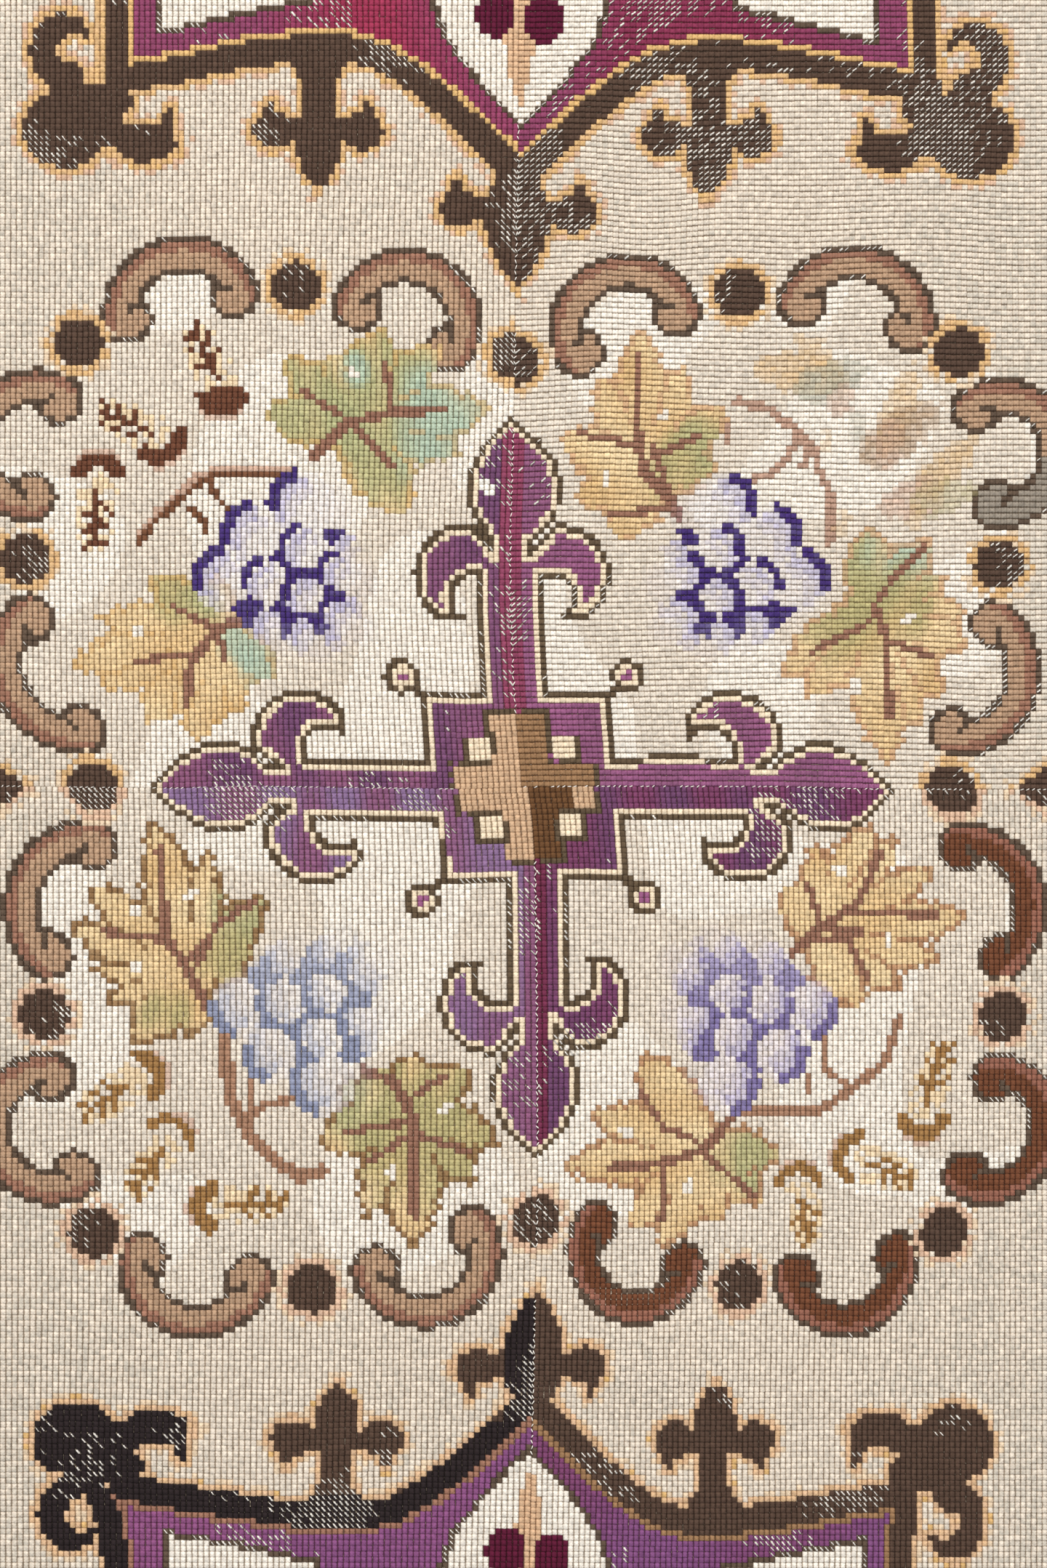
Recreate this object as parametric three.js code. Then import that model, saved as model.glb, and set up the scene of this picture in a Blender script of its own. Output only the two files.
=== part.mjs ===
// A cut length of a needlepoint rug: four stitched panels sewn together along a seam
// across the width and a seam along the length, laid out flat with a few soft cockles.
// Millimetres, +X across the width, +Y along the length, +Z up through the cloth.
// The origin lies under the middle of the cloth, on the surface that it rests on.

import * as THREE from 'three';

// Driving dimensions
const CUT_WIDTH = 664;
const CUT_LENGTH = 990;
const CLOTH_THICKNESS = 3;

// Half of the gap that a seam leaves between the edges of two panels
const HALF_SEAM_GAP = 0.25;

// How far the cut edge strays inwards, and the length of one wave of it
const EDGE_WANDER = 0.9;
const EDGE_WAVE = 310;

// The mesh of one panel: cells across and along
const CELLS_ACROSS = 18;
const CELLS_ALONG = 26;

// The seam across the width: its y where it passes each x
const CROSS_SEAM = [
  { x: -332, y: -1.2 },
  { x: -218, y: -2.6 },
  { x: -177, y: -1.2 },
  { x: -36, y: -3.2 },
  { x: -4, y: -2.0 },
  { x: 36, y: -1.4 },
  { x: 155, y: -1.6 },
  { x: 218, y: -3.2 },
  { x: 332, y: -3.5 },
];

// The seam between the two far panels: its x where it passes each y
const FAR_SEAM = [
  { y: -3, x: -0.9 },
  { y: 40, x: -4.6 },
  { y: 68, x: -6.4 },
  { y: 109, x: -8.2 },
  { y: 156, x: -8.2 },
  { y: 248, x: -5.5 },
  { y: 315, x: -5.0 },
  { y: 382, x: -3.4 },
  { y: 495, x: -2.7 },
];

// The seam between the two near panels, which starts a stitch further over
const NEAR_SEAM = [
  { y: -495, x: 3.6 },
  { y: -442, x: 4.6 },
  { y: -377, x: 6.1 },
  { y: -324, x: 7.2 },
  { y: -256, x: 8.9 },
  { y: -146, x: 8.4 },
  { y: -51, x: 7.3 },
  { y: -19, x: 5.0 },
  { y: -3, x: 2.7 },
];

// Soft cockles where the cloth stands off the surface: the middle, the half-length
// and half-width, the turn of the long way from +X in degrees, and the lift
const COCKLES = [
  { x: 68, y: -356, long: 105, short: 42, turn: -8, lift: 3.2 },
  { x: 182, y: 38, long: 60, short: 36, turn: 12, lift: 2.4 },
  { x: 92, y: 344, long: 95, short: 45, turn: -6, lift: 2.2 },
  { x: -205, y: 205, long: 120, short: 60, turn: 35, lift: 1.6 },
  { x: -190, y: -250, long: 110, short: 55, turn: -30, lift: 1.4 },
  { x: 250, y: -190, long: 90, short: 50, turn: 70, lift: 1.5 },
];

// The panels: which side of each seam they lie on, and the mean colour of their wool
const PANELS = [
  { name: 'panel_nw', east: false, north: true, color: 0xbba68c },
  { name: 'panel_ne', east: true, north: true, color: 0xb9a48a },
  { name: 'panel_sw', east: false, north: false, color: 0xae9a84 },
  { name: 'panel_se', east: true, north: false, color: 0xab947c },
];

// Reads a table at one value of its first column, straight between the rows
function readTable(table, from, to, value) {
  if (value <= table[0][from]) return table[0][to];
  for (let row = 1; row < table.length; row += 1) {
    const low = table[row - 1];
    const high = table[row];
    if (value <= high[from]) {
      const share = (value - low[from]) / (high[from] - low[from]);
      return THREE.MathUtils.lerp(low[to], high[to], share);
    }
  }
  return table[table.length - 1][to];
}

// How far a cut edge lies inside the straight cut at a place along it
function edgeWander(along, phase) {
  const wave = Math.sin((2 * Math.PI * along) / EDGE_WAVE + phase);
  return 0.5 * EDGE_WANDER * (1 + wave);
}

// The height of the underside above the surface
function liftAt(x, y) {
  let lift = 0;
  for (const cockle of COCKLES) {
    const turn = THREE.MathUtils.degToRad(cockle.turn);
    const dx = x - cockle.x;
    const dy = y - cockle.y;
    const along = (dx * Math.cos(turn) + dy * Math.sin(turn)) / cockle.long;
    const across = (dy * Math.cos(turn) - dx * Math.sin(turn)) / cockle.short;
    const inside = Math.max(0, 1 - along * along - across * across);
    lift += cockle.lift * inside * inside;
  }
  return lift;
}

// The four edges of one panel, each as a function of the place along it
function panelEdges({ east, north }) {
  const seam = north ? FAR_SEAM : NEAR_SEAM;
  const seamX = (y) => readTable(seam, 'y', 'x', y);
  const seamY = (x) => readTable(CROSS_SEAM, 'x', 'y', x);
  return {
    west: east
      ? (y) => seamX(y) + HALF_SEAM_GAP
      : (y) => -CUT_WIDTH / 2 + edgeWander(y, 0.4),
    east: east
      ? (y) => CUT_WIDTH / 2 - edgeWander(y, 2.1)
      : (y) => seamX(y) - HALF_SEAM_GAP,
    south: north
      ? (x) => seamY(x) + HALF_SEAM_GAP
      : (x) => -CUT_LENGTH / 2 + edgeWander(x, 3.3),
    north: north
      ? (x) => CUT_LENGTH / 2 - edgeWander(x, 5.2)
      : (x) => seamY(x) - HALF_SEAM_GAP,
  };
}

// One panel as a closed sheet of even thickness on its cockles
function panelGeometry(panel) {
  const edges = panelEdges(panel);
  const top = [];
  const bottom = [];
  for (let row = 0; row <= CELLS_ALONG; row += 1) {
    const v = row / CELLS_ALONG;
    const middleY = THREE.MathUtils.lerp(edges.south(0), edges.north(0), v);
    for (let column = 0; column <= CELLS_ACROSS; column += 1) {
      const u = column / CELLS_ACROSS;
      const x = THREE.MathUtils.lerp(edges.west(middleY), edges.east(middleY), u);
      const y = THREE.MathUtils.lerp(edges.south(x), edges.north(x), v);
      const z = liftAt(x, y);
      top.push(x, y, z + CLOTH_THICKNESS);
      bottom.push(x, y, z);
    }
  }
  const columns = CELLS_ACROSS + 1;
  const below = columns * (CELLS_ALONG + 1);
  const index = [];
  const quad = (a, b, c, d) => index.push(a, b, c, a, c, d);
  for (let row = 0; row < CELLS_ALONG; row += 1) {
    for (let column = 0; column < CELLS_ACROSS; column += 1) {
      const corner = row * columns + column;
      quad(corner, corner + 1, corner + columns + 1, corner + columns);
      quad(
        below + corner,
        below + corner + columns,
        below + corner + columns + 1,
        below + corner + 1,
      );
    }
  }
  const wall = (a, b) => quad(below + a, below + b, b, a);
  for (let column = 0; column < CELLS_ACROSS; column += 1) {
    const far = CELLS_ALONG * columns + column;
    wall(column, column + 1);
    wall(far + 1, far);
  }
  for (let row = 0; row < CELLS_ALONG; row += 1) {
    const left = row * columns;
    const right = left + CELLS_ACROSS;
    wall(left + columns, left);
    wall(right, right + columns);
  }
  const geometry = new THREE.BufferGeometry();
  geometry.setAttribute('position', new THREE.Float32BufferAttribute([...top, ...bottom], 3));
  geometry.setIndex(index);
  geometry.computeVertexNormals();
  return geometry;
}

// One panel with its own wool
function makePanel(panel) {
  const wool = new THREE.MeshStandardMaterial({ color: panel.color, roughness: 0.95, metalness: 0 });
  const mesh = new THREE.Mesh(panelGeometry(panel), wool);
  mesh.name = panel.name;
  return mesh;
}

const rug = new THREE.Group();
for (const panel of PANELS) {
  rug.add(makePanel(panel));
}

export default rug;
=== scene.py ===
# %% [markdown]
# # A needlepoint rug, stitch by stitch
#
# The rug is wool cross stitch on an open canvas. It was worked as four panels, which were
# then sewn together with one seam across the rug and one seam along it. What we need is
# the look of tens of thousands of small crossed stitches, each in its own wool.
#
# One way would be a flat sheet with the pattern painted on it. It would look right from far
# off and flat from near by, so here every stitch is real: two short arms of wool that cross
# on a canvas sheet, placed by Geometry Nodes, with colours read from a chart. The chart is
# drawn by small formulas, as a maker would count it out on squared paper.

# %% Load the frame
import math
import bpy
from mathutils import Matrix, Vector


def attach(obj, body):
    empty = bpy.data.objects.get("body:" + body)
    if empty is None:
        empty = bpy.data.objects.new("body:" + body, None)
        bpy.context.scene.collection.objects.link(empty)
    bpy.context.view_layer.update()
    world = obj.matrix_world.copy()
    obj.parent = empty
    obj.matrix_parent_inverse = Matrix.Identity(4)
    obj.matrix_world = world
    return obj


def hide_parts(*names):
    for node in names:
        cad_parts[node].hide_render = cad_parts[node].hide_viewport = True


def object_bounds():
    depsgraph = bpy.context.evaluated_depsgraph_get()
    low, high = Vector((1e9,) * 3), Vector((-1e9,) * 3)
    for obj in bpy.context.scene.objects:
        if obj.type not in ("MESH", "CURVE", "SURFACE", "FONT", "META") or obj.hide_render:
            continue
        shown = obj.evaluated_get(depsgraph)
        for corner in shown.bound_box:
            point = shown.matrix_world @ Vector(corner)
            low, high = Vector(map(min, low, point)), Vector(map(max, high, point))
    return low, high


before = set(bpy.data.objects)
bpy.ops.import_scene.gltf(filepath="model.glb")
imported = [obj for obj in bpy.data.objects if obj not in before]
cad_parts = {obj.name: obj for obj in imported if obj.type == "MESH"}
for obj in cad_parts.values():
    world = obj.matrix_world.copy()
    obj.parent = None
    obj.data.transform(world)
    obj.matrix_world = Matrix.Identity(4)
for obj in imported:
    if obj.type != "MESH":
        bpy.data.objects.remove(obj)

from types import SimpleNamespace

import bpy
import numpy as np

cad_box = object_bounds()


def add_object(name, data):
    made = bpy.data.objects.new(name, data)
    bpy.context.scene.collection.objects.link(made)
    return made


print("rug, in mm:", [round(1000 * x) for x in cad_box[1] - cad_box[0]])

# %% [markdown]
# ## Sizes
#
# The chart is counted in stitches from the two seams: s across the rug and t along it.
# A stitch is 3.53 mm, as wool rugs of this kind have about seven to the inch.
# The rows of the table are the four panels. They were worked by hand and none is quite like
# the next: the number of stitches differs, the top arm of the cross slants one way or the
# other, and the ribs of the canvas run along the rug or, in one panel, across it.

# %% Sizes and panels
MM = 0.001
STITCH = 3.5263
HALF_WIDTH = 0.5 * (cad_box[1].x - cad_box[0].x) / MM
HALF_LENGTH = 0.5 * (cad_box[1].y - cad_box[0].y) / MM
CLOTH_THICKNESS = 3.0
CANVAS_THICKNESS = 1.6
SEED = 11
TURN_ROW = 90

# s_near and s_far: how wide a charted stitch comes out by the cross seam and past TURN_ROW.
# t_near and t_far: how long it comes out up to TURN_ROW, and past it.
# fleur: the column that the small border fleur hangs from. corner: how far its corner knot moved.
PANELS = [
    dict(name="nw", east=False, north=True, across=94, along=141, slant=-1, ribs="along",
         s_near=1.0, s_far=1.0, t_near=1.0, t_far=1.0, fleur=35.5, corner=0),
    dict(name="ne", east=True, north=True, across=95, along=141, slant=1, ribs="across",
         s_near=1.0, s_far=1.02, t_near=0.985, t_far=1.0, fleur=33.0, corner=-1.6),
    dict(name="sw", east=False, north=False, across=92, along=140, slant=-1, ribs="along",
         s_near=1.015, s_far=1.015, t_near=1.003, t_far=0.955, fleur=34.2, corner=-0.6),
    dict(name="se", east=True, north=False, across=96, along=143, slant=-1, ribs="along",
         s_near=0.99, s_far=0.925, t_near=0.997, t_far=0.99, fleur=35.1, corner=0.4),
]
PANELS = [SimpleNamespace(**row) for row in PANELS]
print("stitches in all:", sum(p.across * p.along for p in PANELS))

# %% [markdown]
# ## Where the seams and the cockles lie
#
# Sewn seams wander by a stitch or two, and old cloth never lies dead flat. Both are given as
# short tables in millimetres, the same ones that the frame was made from, so the stitches lie
# on the solid panels. A seam is read straight between its rows. A cockle is a low mound.

# %% Seams and cockles
CROSS_SEAM_X = [-332, -218, -177, -36, -4, 36, 155, 218, 332]
CROSS_SEAM_Y = [-1.2, -2.6, -1.2, -3.2, -2.0, -1.4, -1.6, -3.2, -3.5]
FAR_SEAM_Y = [-3, 40, 68, 109, 156, 248, 315, 382, 495]
FAR_SEAM_X = [-0.9, -4.6, -6.4, -8.2, -8.2, -5.5, -5.0, -3.4, -2.7]
NEAR_SEAM_Y = [-495, -442, -377, -324, -256, -146, -51, -19, -3]
NEAR_SEAM_X = [3.6, 4.6, 6.1, 7.2, 8.9, 8.4, 7.3, 5.0, 2.7]
COCKLES = [
    dict(x=68, y=-356, long=105, short=42, turn=-8, lift=3.2),
    dict(x=182, y=38, long=60, short=36, turn=12, lift=2.4),
    dict(x=92, y=344, long=95, short=45, turn=-6, lift=2.2),
    dict(x=-205, y=205, long=120, short=60, turn=35, lift=1.6),
    dict(x=-190, y=-250, long=110, short=55, turn=-30, lift=1.4),
    dict(x=250, y=-190, long=90, short=50, turn=70, lift=1.5),
]


def cross_seam(x):
    return np.interp(x, CROSS_SEAM_X, CROSS_SEAM_Y)


def long_seam(panel, y):
    if panel.north:
        return np.interp(y, FAR_SEAM_Y, FAR_SEAM_X)
    return np.interp(y, NEAR_SEAM_Y, NEAR_SEAM_X)


def lift_at(x, y):
    """The height of the cloth's underside above the floor, in mm."""
    lift = np.zeros_like(x)
    for c in COCKLES:
        turn = math.radians(c["turn"])
        dx, dy = x - c["x"], y - c["y"]
        along = (dx * math.cos(turn) + dy * math.sin(turn)) / c["long"]
        across = (dy * math.cos(turn) - dx * math.sin(turn)) / c["short"]
        inside = np.clip(1 - along**2 - across**2, 0, None)
        lift = lift + c["lift"] * inside**2
    return lift


print("highest cockle, in mm:", max(c["lift"] for c in COCKLES))

# %% [markdown]
# ## The lattice of canvas holes
#
# Each panel is a lattice of holes, and a stitch sits between four of them. The lattice runs
# from edge to edge of its panel. Hand-held canvas pulls out of square, so soft waves shift the
# holes a little, more in the panel whose ribs run across. Smooth noise is enough for this, and
# a few sine waves make smooth noise that is the same at every run.

# %% Lattice
EDGE_INSET = 0.6
# How far the waves shift the holes, the share of it across the rug, and the lengths of the waves
SWAY = {"along": 0.8, "across": 1.5}
SWAY_ACROSS = 0.7
WAVE_ACROSS, WAVE_ALONG = 210, 150
# Where the panel with ribs across was pulled: its middle, its reach, the shift and the ripple
PULLED = SimpleNamespace(x=70, y=345, wide=90, long=60, shift=1.6, ripple=17)


def waves(x, y, size, seed):
    """Smooth noise between about -1 and 1 with bumps of a given size."""
    rng = np.random.default_rng(seed)
    total = np.zeros(np.broadcast(x, y).shape)
    for _ in range(6):
        turn, phase = rng.uniform(0, 2 * math.pi, 2)
        pitch = size * rng.uniform(0.7, 1.6)
        total = total + np.sin((x * math.cos(turn) + y * math.sin(turn)) * 2 * math.pi / pitch + phase)
    return total / 3.2


def between(seam, past_seam, half_size, share):
    """A share of the way across a panel, from its seam to its edge or from its edge to its seam."""
    low = seam if past_seam else -half_size + EDGE_INSET
    high = half_size - EDGE_INSET if past_seam else seam
    return low + (high - low) * share


def lattice(panel, across, along):
    """x and y, in mm, of the holes of a panel: rows from south to north, columns west to east."""
    u = np.linspace(0, 1, across + 1)[None, :]
    v = np.linspace(0, 1, along + 1)[:, None]
    x = 0 * u
    y = between(cross_seam(x), panel.north, HALF_LENGTH, v)
    for _ in range(2):
        x = between(long_seam(panel, y), panel.east, HALF_WIDTH, u)
        y = between(cross_seam(x), panel.north, HALF_LENGTH, v)
    # The edges of a panel stay put, and a little way in the shift is full
    free = np.clip(8 * u * (1 - u), 0, 1) * np.clip(10 * v * (1 - v), 0, 1)
    dx = SWAY_ACROSS * SWAY[panel.ribs] * waves(x, y, WAVE_ACROSS, SEED + 1)
    dy = SWAY[panel.ribs] * waves(x, y, WAVE_ALONG, SEED + 2)
    if panel.ribs == "across":
        pulled = np.exp(-(((x - PULLED.x) / PULLED.wide) ** 2) - ((y - PULLED.y) / PULLED.long) ** 2)
        dy = dy + PULLED.shift * pulled * np.sin(x / PULLED.ripple)
    return x + dx * free, y + dy * free


def chart_places(panel, x, y):
    """s and t: how many charted stitches lie between a place and the two seams."""
    t = np.abs(y - cross_seam(x)) / STITCH / panel.t_near
    t = np.where(t > TURN_ROW, TURN_ROW + (t - TURN_ROW) * panel.t_near / panel.t_far, t)
    s_size = panel.s_near + (panel.s_far - panel.s_near) * np.clip(t / TURN_ROW, 0, 1)
    s = np.abs(x - long_seam(panel, y)) / STITCH / s_size
    return s, t


def middles(holes):
    """The mean of the four holes round each stitch."""
    return 0.25 * (holes[1:, 1:] + holes[:-1, 1:] + holes[1:, :-1] + holes[:-1, :-1])


for panel in PANELS:
    panel.x, panel.y = lattice(panel, panel.across, panel.along)
    panel.middle = middles(panel.x), middles(panel.y)
    panel.s, panel.t = chart_places(panel, *panel.middle)
    print(panel.name, "reaches s", round(panel.s.max(), 1), "t", round(panel.t.max(), 1))

# %% [markdown]
# ## Wools
#
# The wools have faded unevenly, as old dyes do, and no two panels match. Colours are written as
# they look on screen and turned into the linear numbers that Blender's shaders use.

# %% Wools
WOOL = {
    "ground": "D5C9B9",
    "ground grey": "CBC1B2",
    "inner ground": "D6CBBC",
    "inner white": "E2DACE",
    "gold halo": "CEA870",
    "rose halo": "CFAE94",
    "pale halo": "D8C2A6",
    "brown": "513E33",
    "black brown": "281F20",
    "scroll tan": "AD8E73",
    "scroll rim": "946B58",
    "scroll line": "5A4A3D",
    "chestnut": "6B412B",
    "chestnut rim": "8E5F4E",
    "slate tan": "8F8578",
    "leaf gold": "CDAC7B",
    "leaf pale": "DCC59C",
    "leaf ochre": "C49A5E",
    "leaf line": "AA8060",
    "leaf rose": "C29A78",
    "leaf olive": "8A6A48",
    "vein": "8C6553",
    "leaf green": "A6A67A",
    "leaf moss": "ADA373",
    "leaf teal": "A6B8A5",
    "plum": "82516F",
    "magenta": "87405A",
    "border rose": "84405F",
    "border red": "91304C",
    "border wine": "80304C",
    "border plum": "7A4A76",
    "border rose plum": "864E78",
    "wine": "6C2C46",
    "violet": "674263",
    "dark plum": "733C5C",
    "lilac plum": "83688B",
    "rose plum": "8F567A",
    "cross line": "5B4B39",
    "cross cream": "DFCDB2",
    "tan": "C2A181",
    "brown tan": "927050",
    "dark tan": "65452A",
    "grape dark": "412D6A",
    "grape pale": "D9D3D0",
    "grape mid": "AFA9C4",
    "blue dark": "8489A0",
    "blue pale": "D6D0CE",
    "blue mid": "B4B5C1",
    "mauve dark": "776B96",
    "mauve pale": "D4CCD2",
    "mauve mid": "AFA7C0",
    "sprig brown": "663F2D",
    "sprig olive": "977144",
    "sprig gold": "DDC49C",
    "faded rose": "C0A08C",
    "faded green": "A5A492",
    "faded brown": "A98A68",
    "branch": "704A34",
    "rose branch": "B08F7C",
    "tan branch": "9E7860",
    "maroon": "57142F",
    "canvas white": "E4DFD6",
    "stem tan": "CDA987",
}


def linear(code):
    """A colour written as six hex figures, as linear red, green and blue."""
    shown = np.array([int(code[i:i + 2], 16) for i in (0, 2, 4)]) / 255
    return np.where(shown <= 0.04045, shown / 12.92, ((shown + 0.055) / 1.055) ** 2.4)


WOOL = {name: linear(code) for name, code in WOOL.items()}
print(len(WOOL), "wools")

# %% [markdown]
# ## Drawing with distances
#
# A chart shape is a function that says how deep each stitch lies inside it: above 0 is inside,
# below 0 is outside, and the number is counted in stitches. Shapes join by taking the larger
# depth and cut each other by taking the smaller. A line one stitch wide round a shape is then
# simply where the depth is from 0 to 1, which is just how a maker outlines a motif.

# %% Shapes in stitches
OUTSIDE = -99.0


def disc(q, centre, radius):
    return radius - np.hypot(q[0] - centre[0], q[1] - centre[1])


def oval(q, centre, radii, turn=0):
    c, n = math.cos(math.radians(turn)), math.sin(math.radians(turn))
    ds, dt = q[0] - centre[0], q[1] - centre[1]
    reach = np.hypot((ds * c + dt * n) / radii[0], (dt * c - ds * n) / radii[1])
    return (1 - reach) * min(radii)


def bar(q, start, end, radius, end_radius=None):
    """A rod with round ends that may taper."""
    end_radius = radius if end_radius is None else end_radius
    ds, dt = end[0] - start[0], end[1] - start[1]
    share = ((q[0] - start[0]) * ds + (q[1] - start[1]) * dt) / max(ds * ds + dt * dt, 1e-9)
    share = np.clip(share, 0, 1)
    away = np.hypot(q[0] - start[0] - share * ds, q[1] - start[1] - share * dt)
    return radius + (end_radius - radius) * share - away


def path(q, points, radius):
    return np.maximum.reduce([bar(q, a, b, radius) for a, b in zip(points, points[1:])])


def box(q, low, high):
    sides = [q[0] - low[0], high[0] - q[0], q[1] - low[1], high[1] - q[1]]
    return np.minimum.reduce(sides)


def angle_of(q, centre):
    return np.degrees(np.arctan2(q[1] - centre[1], q[0] - centre[0]))


def point(centre, radius, degrees):
    turn = math.radians(degrees)
    return centre[0] + radius * math.cos(turn), centre[1] + radius * math.sin(turn)


def arc(q, centre, inner, outer, first, last):
    """A band of a ring, from one angle round to another."""
    reach = np.hypot(q[0] - centre[0], q[1] - centre[1])
    depth = np.minimum(outer - reach, reach - inner)
    beyond = (angle_of(q, centre) - first) % 360 > (last - first)
    return np.where(beyond, OUTSIDE, depth)


def petal(q, root, tip, half, blunt=0.8, teeth=0.0):
    """A pointed lobe from root to tip, with teeth of a given size along its edge."""
    ds, dt = tip[0] - root[0], tip[1] - root[1]
    size = math.hypot(ds, dt)
    share = ((q[0] - root[0]) * ds + (q[1] - root[1]) * dt) / size**2
    aside = np.abs((q[1] - root[1]) * ds - (q[0] - root[0]) * dt) / size
    bulge = np.sin(np.pi * np.clip(share, 0, 1) ** 0.9) ** blunt * half
    bulge = bulge - teeth * ((share * size / 3.4) % 1) * (share > 0.25)
    return np.minimum(bulge - aside, size * np.minimum(share, 1 - share) + 0.3)


def polygon(q, corners):
    """1 inside a closed outline and -1 outside it."""
    inside = np.zeros(q[0].shape, bool)
    for (s0, t0), (s1, t1) in zip(corners, corners[1:] + corners[:1]):
        crosses = (t0 > q[1]) != (t1 > q[1])
        level = s0 + (q[1] - t0) * (s1 - s0) / (t1 - t0 + 1e-9)
        inside ^= crosses & (q[0] < level)
    return np.where(inside, 1.0, -1.0)


def chance(q, seed):
    """A fixed random number from 0 to 1 for each stitch."""
    return np.random.default_rng(SEED * 100 + seed).random(q[0].shape)


print("disc of radius 2 at its middle:", disc((np.zeros(1), np.zeros(1)), (0, 0), 2)[0])

# %% [markdown]
# ## The sheet of squared paper
#
# A panel's colours are an array with one wool for each stitch, and a second array says how worn
# that stitch is. Laying in a motif is one call: where, which wool, and how worn.

# %% Laying in wool


def lay_in(panel, where, wool, worn=0.0):
    panel.wool[where] = WOOL[wool] if isinstance(wool, str) else wool[where]
    panel.worn[where] = worn if np.isscalar(worn) else worn[where]


def mixed(first, second, share):
    """Wool between two others, stitch by stitch: share 0 gives the first and 1 the second."""
    first, second = (WOOL[w] if isinstance(w, str) else w for w in (first, second))
    share = np.clip(share, 0, 1)[..., None]
    return first * (1 - share) + second * share


def patches(panel, size, share, seed):
    """True on patches that cover about a share of the panel."""
    field = waves(panel.s, panel.t, size, SEED + seed + 7 * PANELS.index(panel))
    return field > np.quantile(field, 1 - share)


def wear(panel, share, seed):
    """Wear from 0 to 1: bare in patches, thin along their edges."""
    coarse = waves(panel.s, panel.t, 26, SEED + seed + 5 * PANELS.index(panel))
    fine = chance((panel.s, panel.t), seed + PANELS.index(panel))
    level = 0.6 * coarse + 0.65 * (fine - 0.5)
    return np.clip(1.6 * (level - np.quantile(level, 1 - share)), 0, 1) ** 0.5


for panel in PANELS:
    panel.wool = np.zeros(panel.s.shape + (3,))
    panel.worn = np.zeros(panel.s.shape)
print("empty charts:", [p.wool.shape[:2] for p in PANELS])

# %% [markdown]
# ## Ground
#
# Outside the wreath the ground is a beige that has gone greyer towards the sides. Inside the
# wreath it is nearly white. The line between them runs under the wreath, so a rough outline
# through the middle of the scrolls will do.

# %% Ground
WREATH_LINE = [(0, 77), (12, 84), (20, 91), (39, 89), (58, 92), (70, 88), (77.5, 79), (88, 72),
               (93, 60), (86, 40), (90, 28), (88, 14), (76, 0), (76, -9), (-9, -9), (-9, 77)]


def lay_ground(panel):
    q = panel.s, panel.t
    everywhere = np.ones(q[0].shape, bool)
    lay_in(panel, everywhere, "ground")
    grey = np.clip((q[0] - 55) / 45, 0, 1) * 0.6 + 0.25 * waves(q[0], q[1], 60, SEED + 3)
    lay_in(panel, chance(q, 1) < grey, "ground grey")
    within = polygon(q, WREATH_LINE) > 0
    lay_in(panel, within, "inner ground")
    lay_in(panel, within & patches(panel, 45, 0.45, 4), "inner white")


# %% [markdown]
# ## Scrolls and beads of the wreath
#
# A C-scroll is a band of a ring that ends in two curls. Each curl is a disc that touches the
# outer ring from inside, and a short dark slit parts it from the band. Inside the dark line the
# outer edge is a darker rim. Between the scrolls sit round beads with a gold rim of light.

# %% Scrolls and beads
SCROLLS = [
    dict(centre=(59.0, 83.6), radius=14.5, first=-2, last=157),
    dict(centre=(19.4, 82.3), radius=13.8, first=20, last=206),
    dict(centre=(84.9, 60.5), radius=13.8, first=-88, last=116),
    dict(centre=(77.3, 21.7), radius=16.1, first=-90, last=45),
]
BEADS = [(0, 76.8), (39, 88.9), (77.5, 78.8), (86.1, 40.4), (76.1, 0), (97.5, 0)]
BEAD_RADIUS = 4.4
BAND = 6.6
CURL = 4.6
# Past this column, at the ends of the cross seam, a bead is drawn out to a drop
LAST_BEAD_COLUMN = 90
DROP = ((108, 0), (88, 0), 5.0)
# In the north-east panel this scroll is of a greyer wool up to this row
GREY_SCROLL = SCROLLS[2]
GREY_ROW = 57


def scroll(q, centre, radius, first, last):
    depth = arc(q, centre, radius - BAND, radius, first, last)
    slit = np.full(q[0].shape, OUTSIDE)
    for end, inward in ((first, 1), (last, -1)):
        heart = point(centre, radius - CURL, end)
        depth = np.maximum(depth, disc(q, heart, CURL))
        spread = math.degrees(math.asin(CURL / (radius - CURL))) * inward
        mouth = point(centre, radius - BAND - 0.4, end + 0.95 * spread)
        inner = point(centre, radius - BAND + 1.6, end + 0.3 * spread)
        slit = np.maximum(slit, bar(q, mouth, inner, 0.6))
    return depth, slit


def lay_wreath(panel):
    q = panel.s, panel.t
    fill, rim = ("chestnut", "chestnut rim") if panel.name == "se" else ("scroll tan", "scroll rim")
    for row in SCROLLS:
        depth, slit = scroll(q, **row)
        reach = np.hypot(q[0] - row["centre"][0], q[1] - row["centre"][1])
        lay_in(panel, depth > 0, "scroll line", wear(panel, 0.35, 31))
        lay_in(panel, depth > 1, fill)
        lay_in(panel, (depth > 1) & (reach > row["radius"] - 2.6), rim)
        if panel.name == "ne" and row is GREY_SCROLL:
            lay_in(panel, (depth > 1) & (q[1] < GREY_ROW + 3 * chance(q, 18)), "slate tan")
        lay_in(panel, (slit > 0) & (depth > 0), "scroll line")
    for k, centre in enumerate(BEADS):
        depth = petal(q, *DROP) if centre[0] > LAST_BEAD_COLUMN else disc(q, centre, BEAD_RADIUS)
        lay_in(panel, (depth > -2.4) & (chance(q, 16) < 0.45), "pale halo")
        near = "rose halo"
        if panel.north:
            near = mixed("gold halo", "rose halo", 0.15 + 0.2 * chance(q, 15))
        lay_in(panel, (depth > -1.4) & (chance(q, 17) < 0.85), near)
        lay_in(panel, depth > 0, "brown", wear(panel, 0.3, 40 + k))


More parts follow.
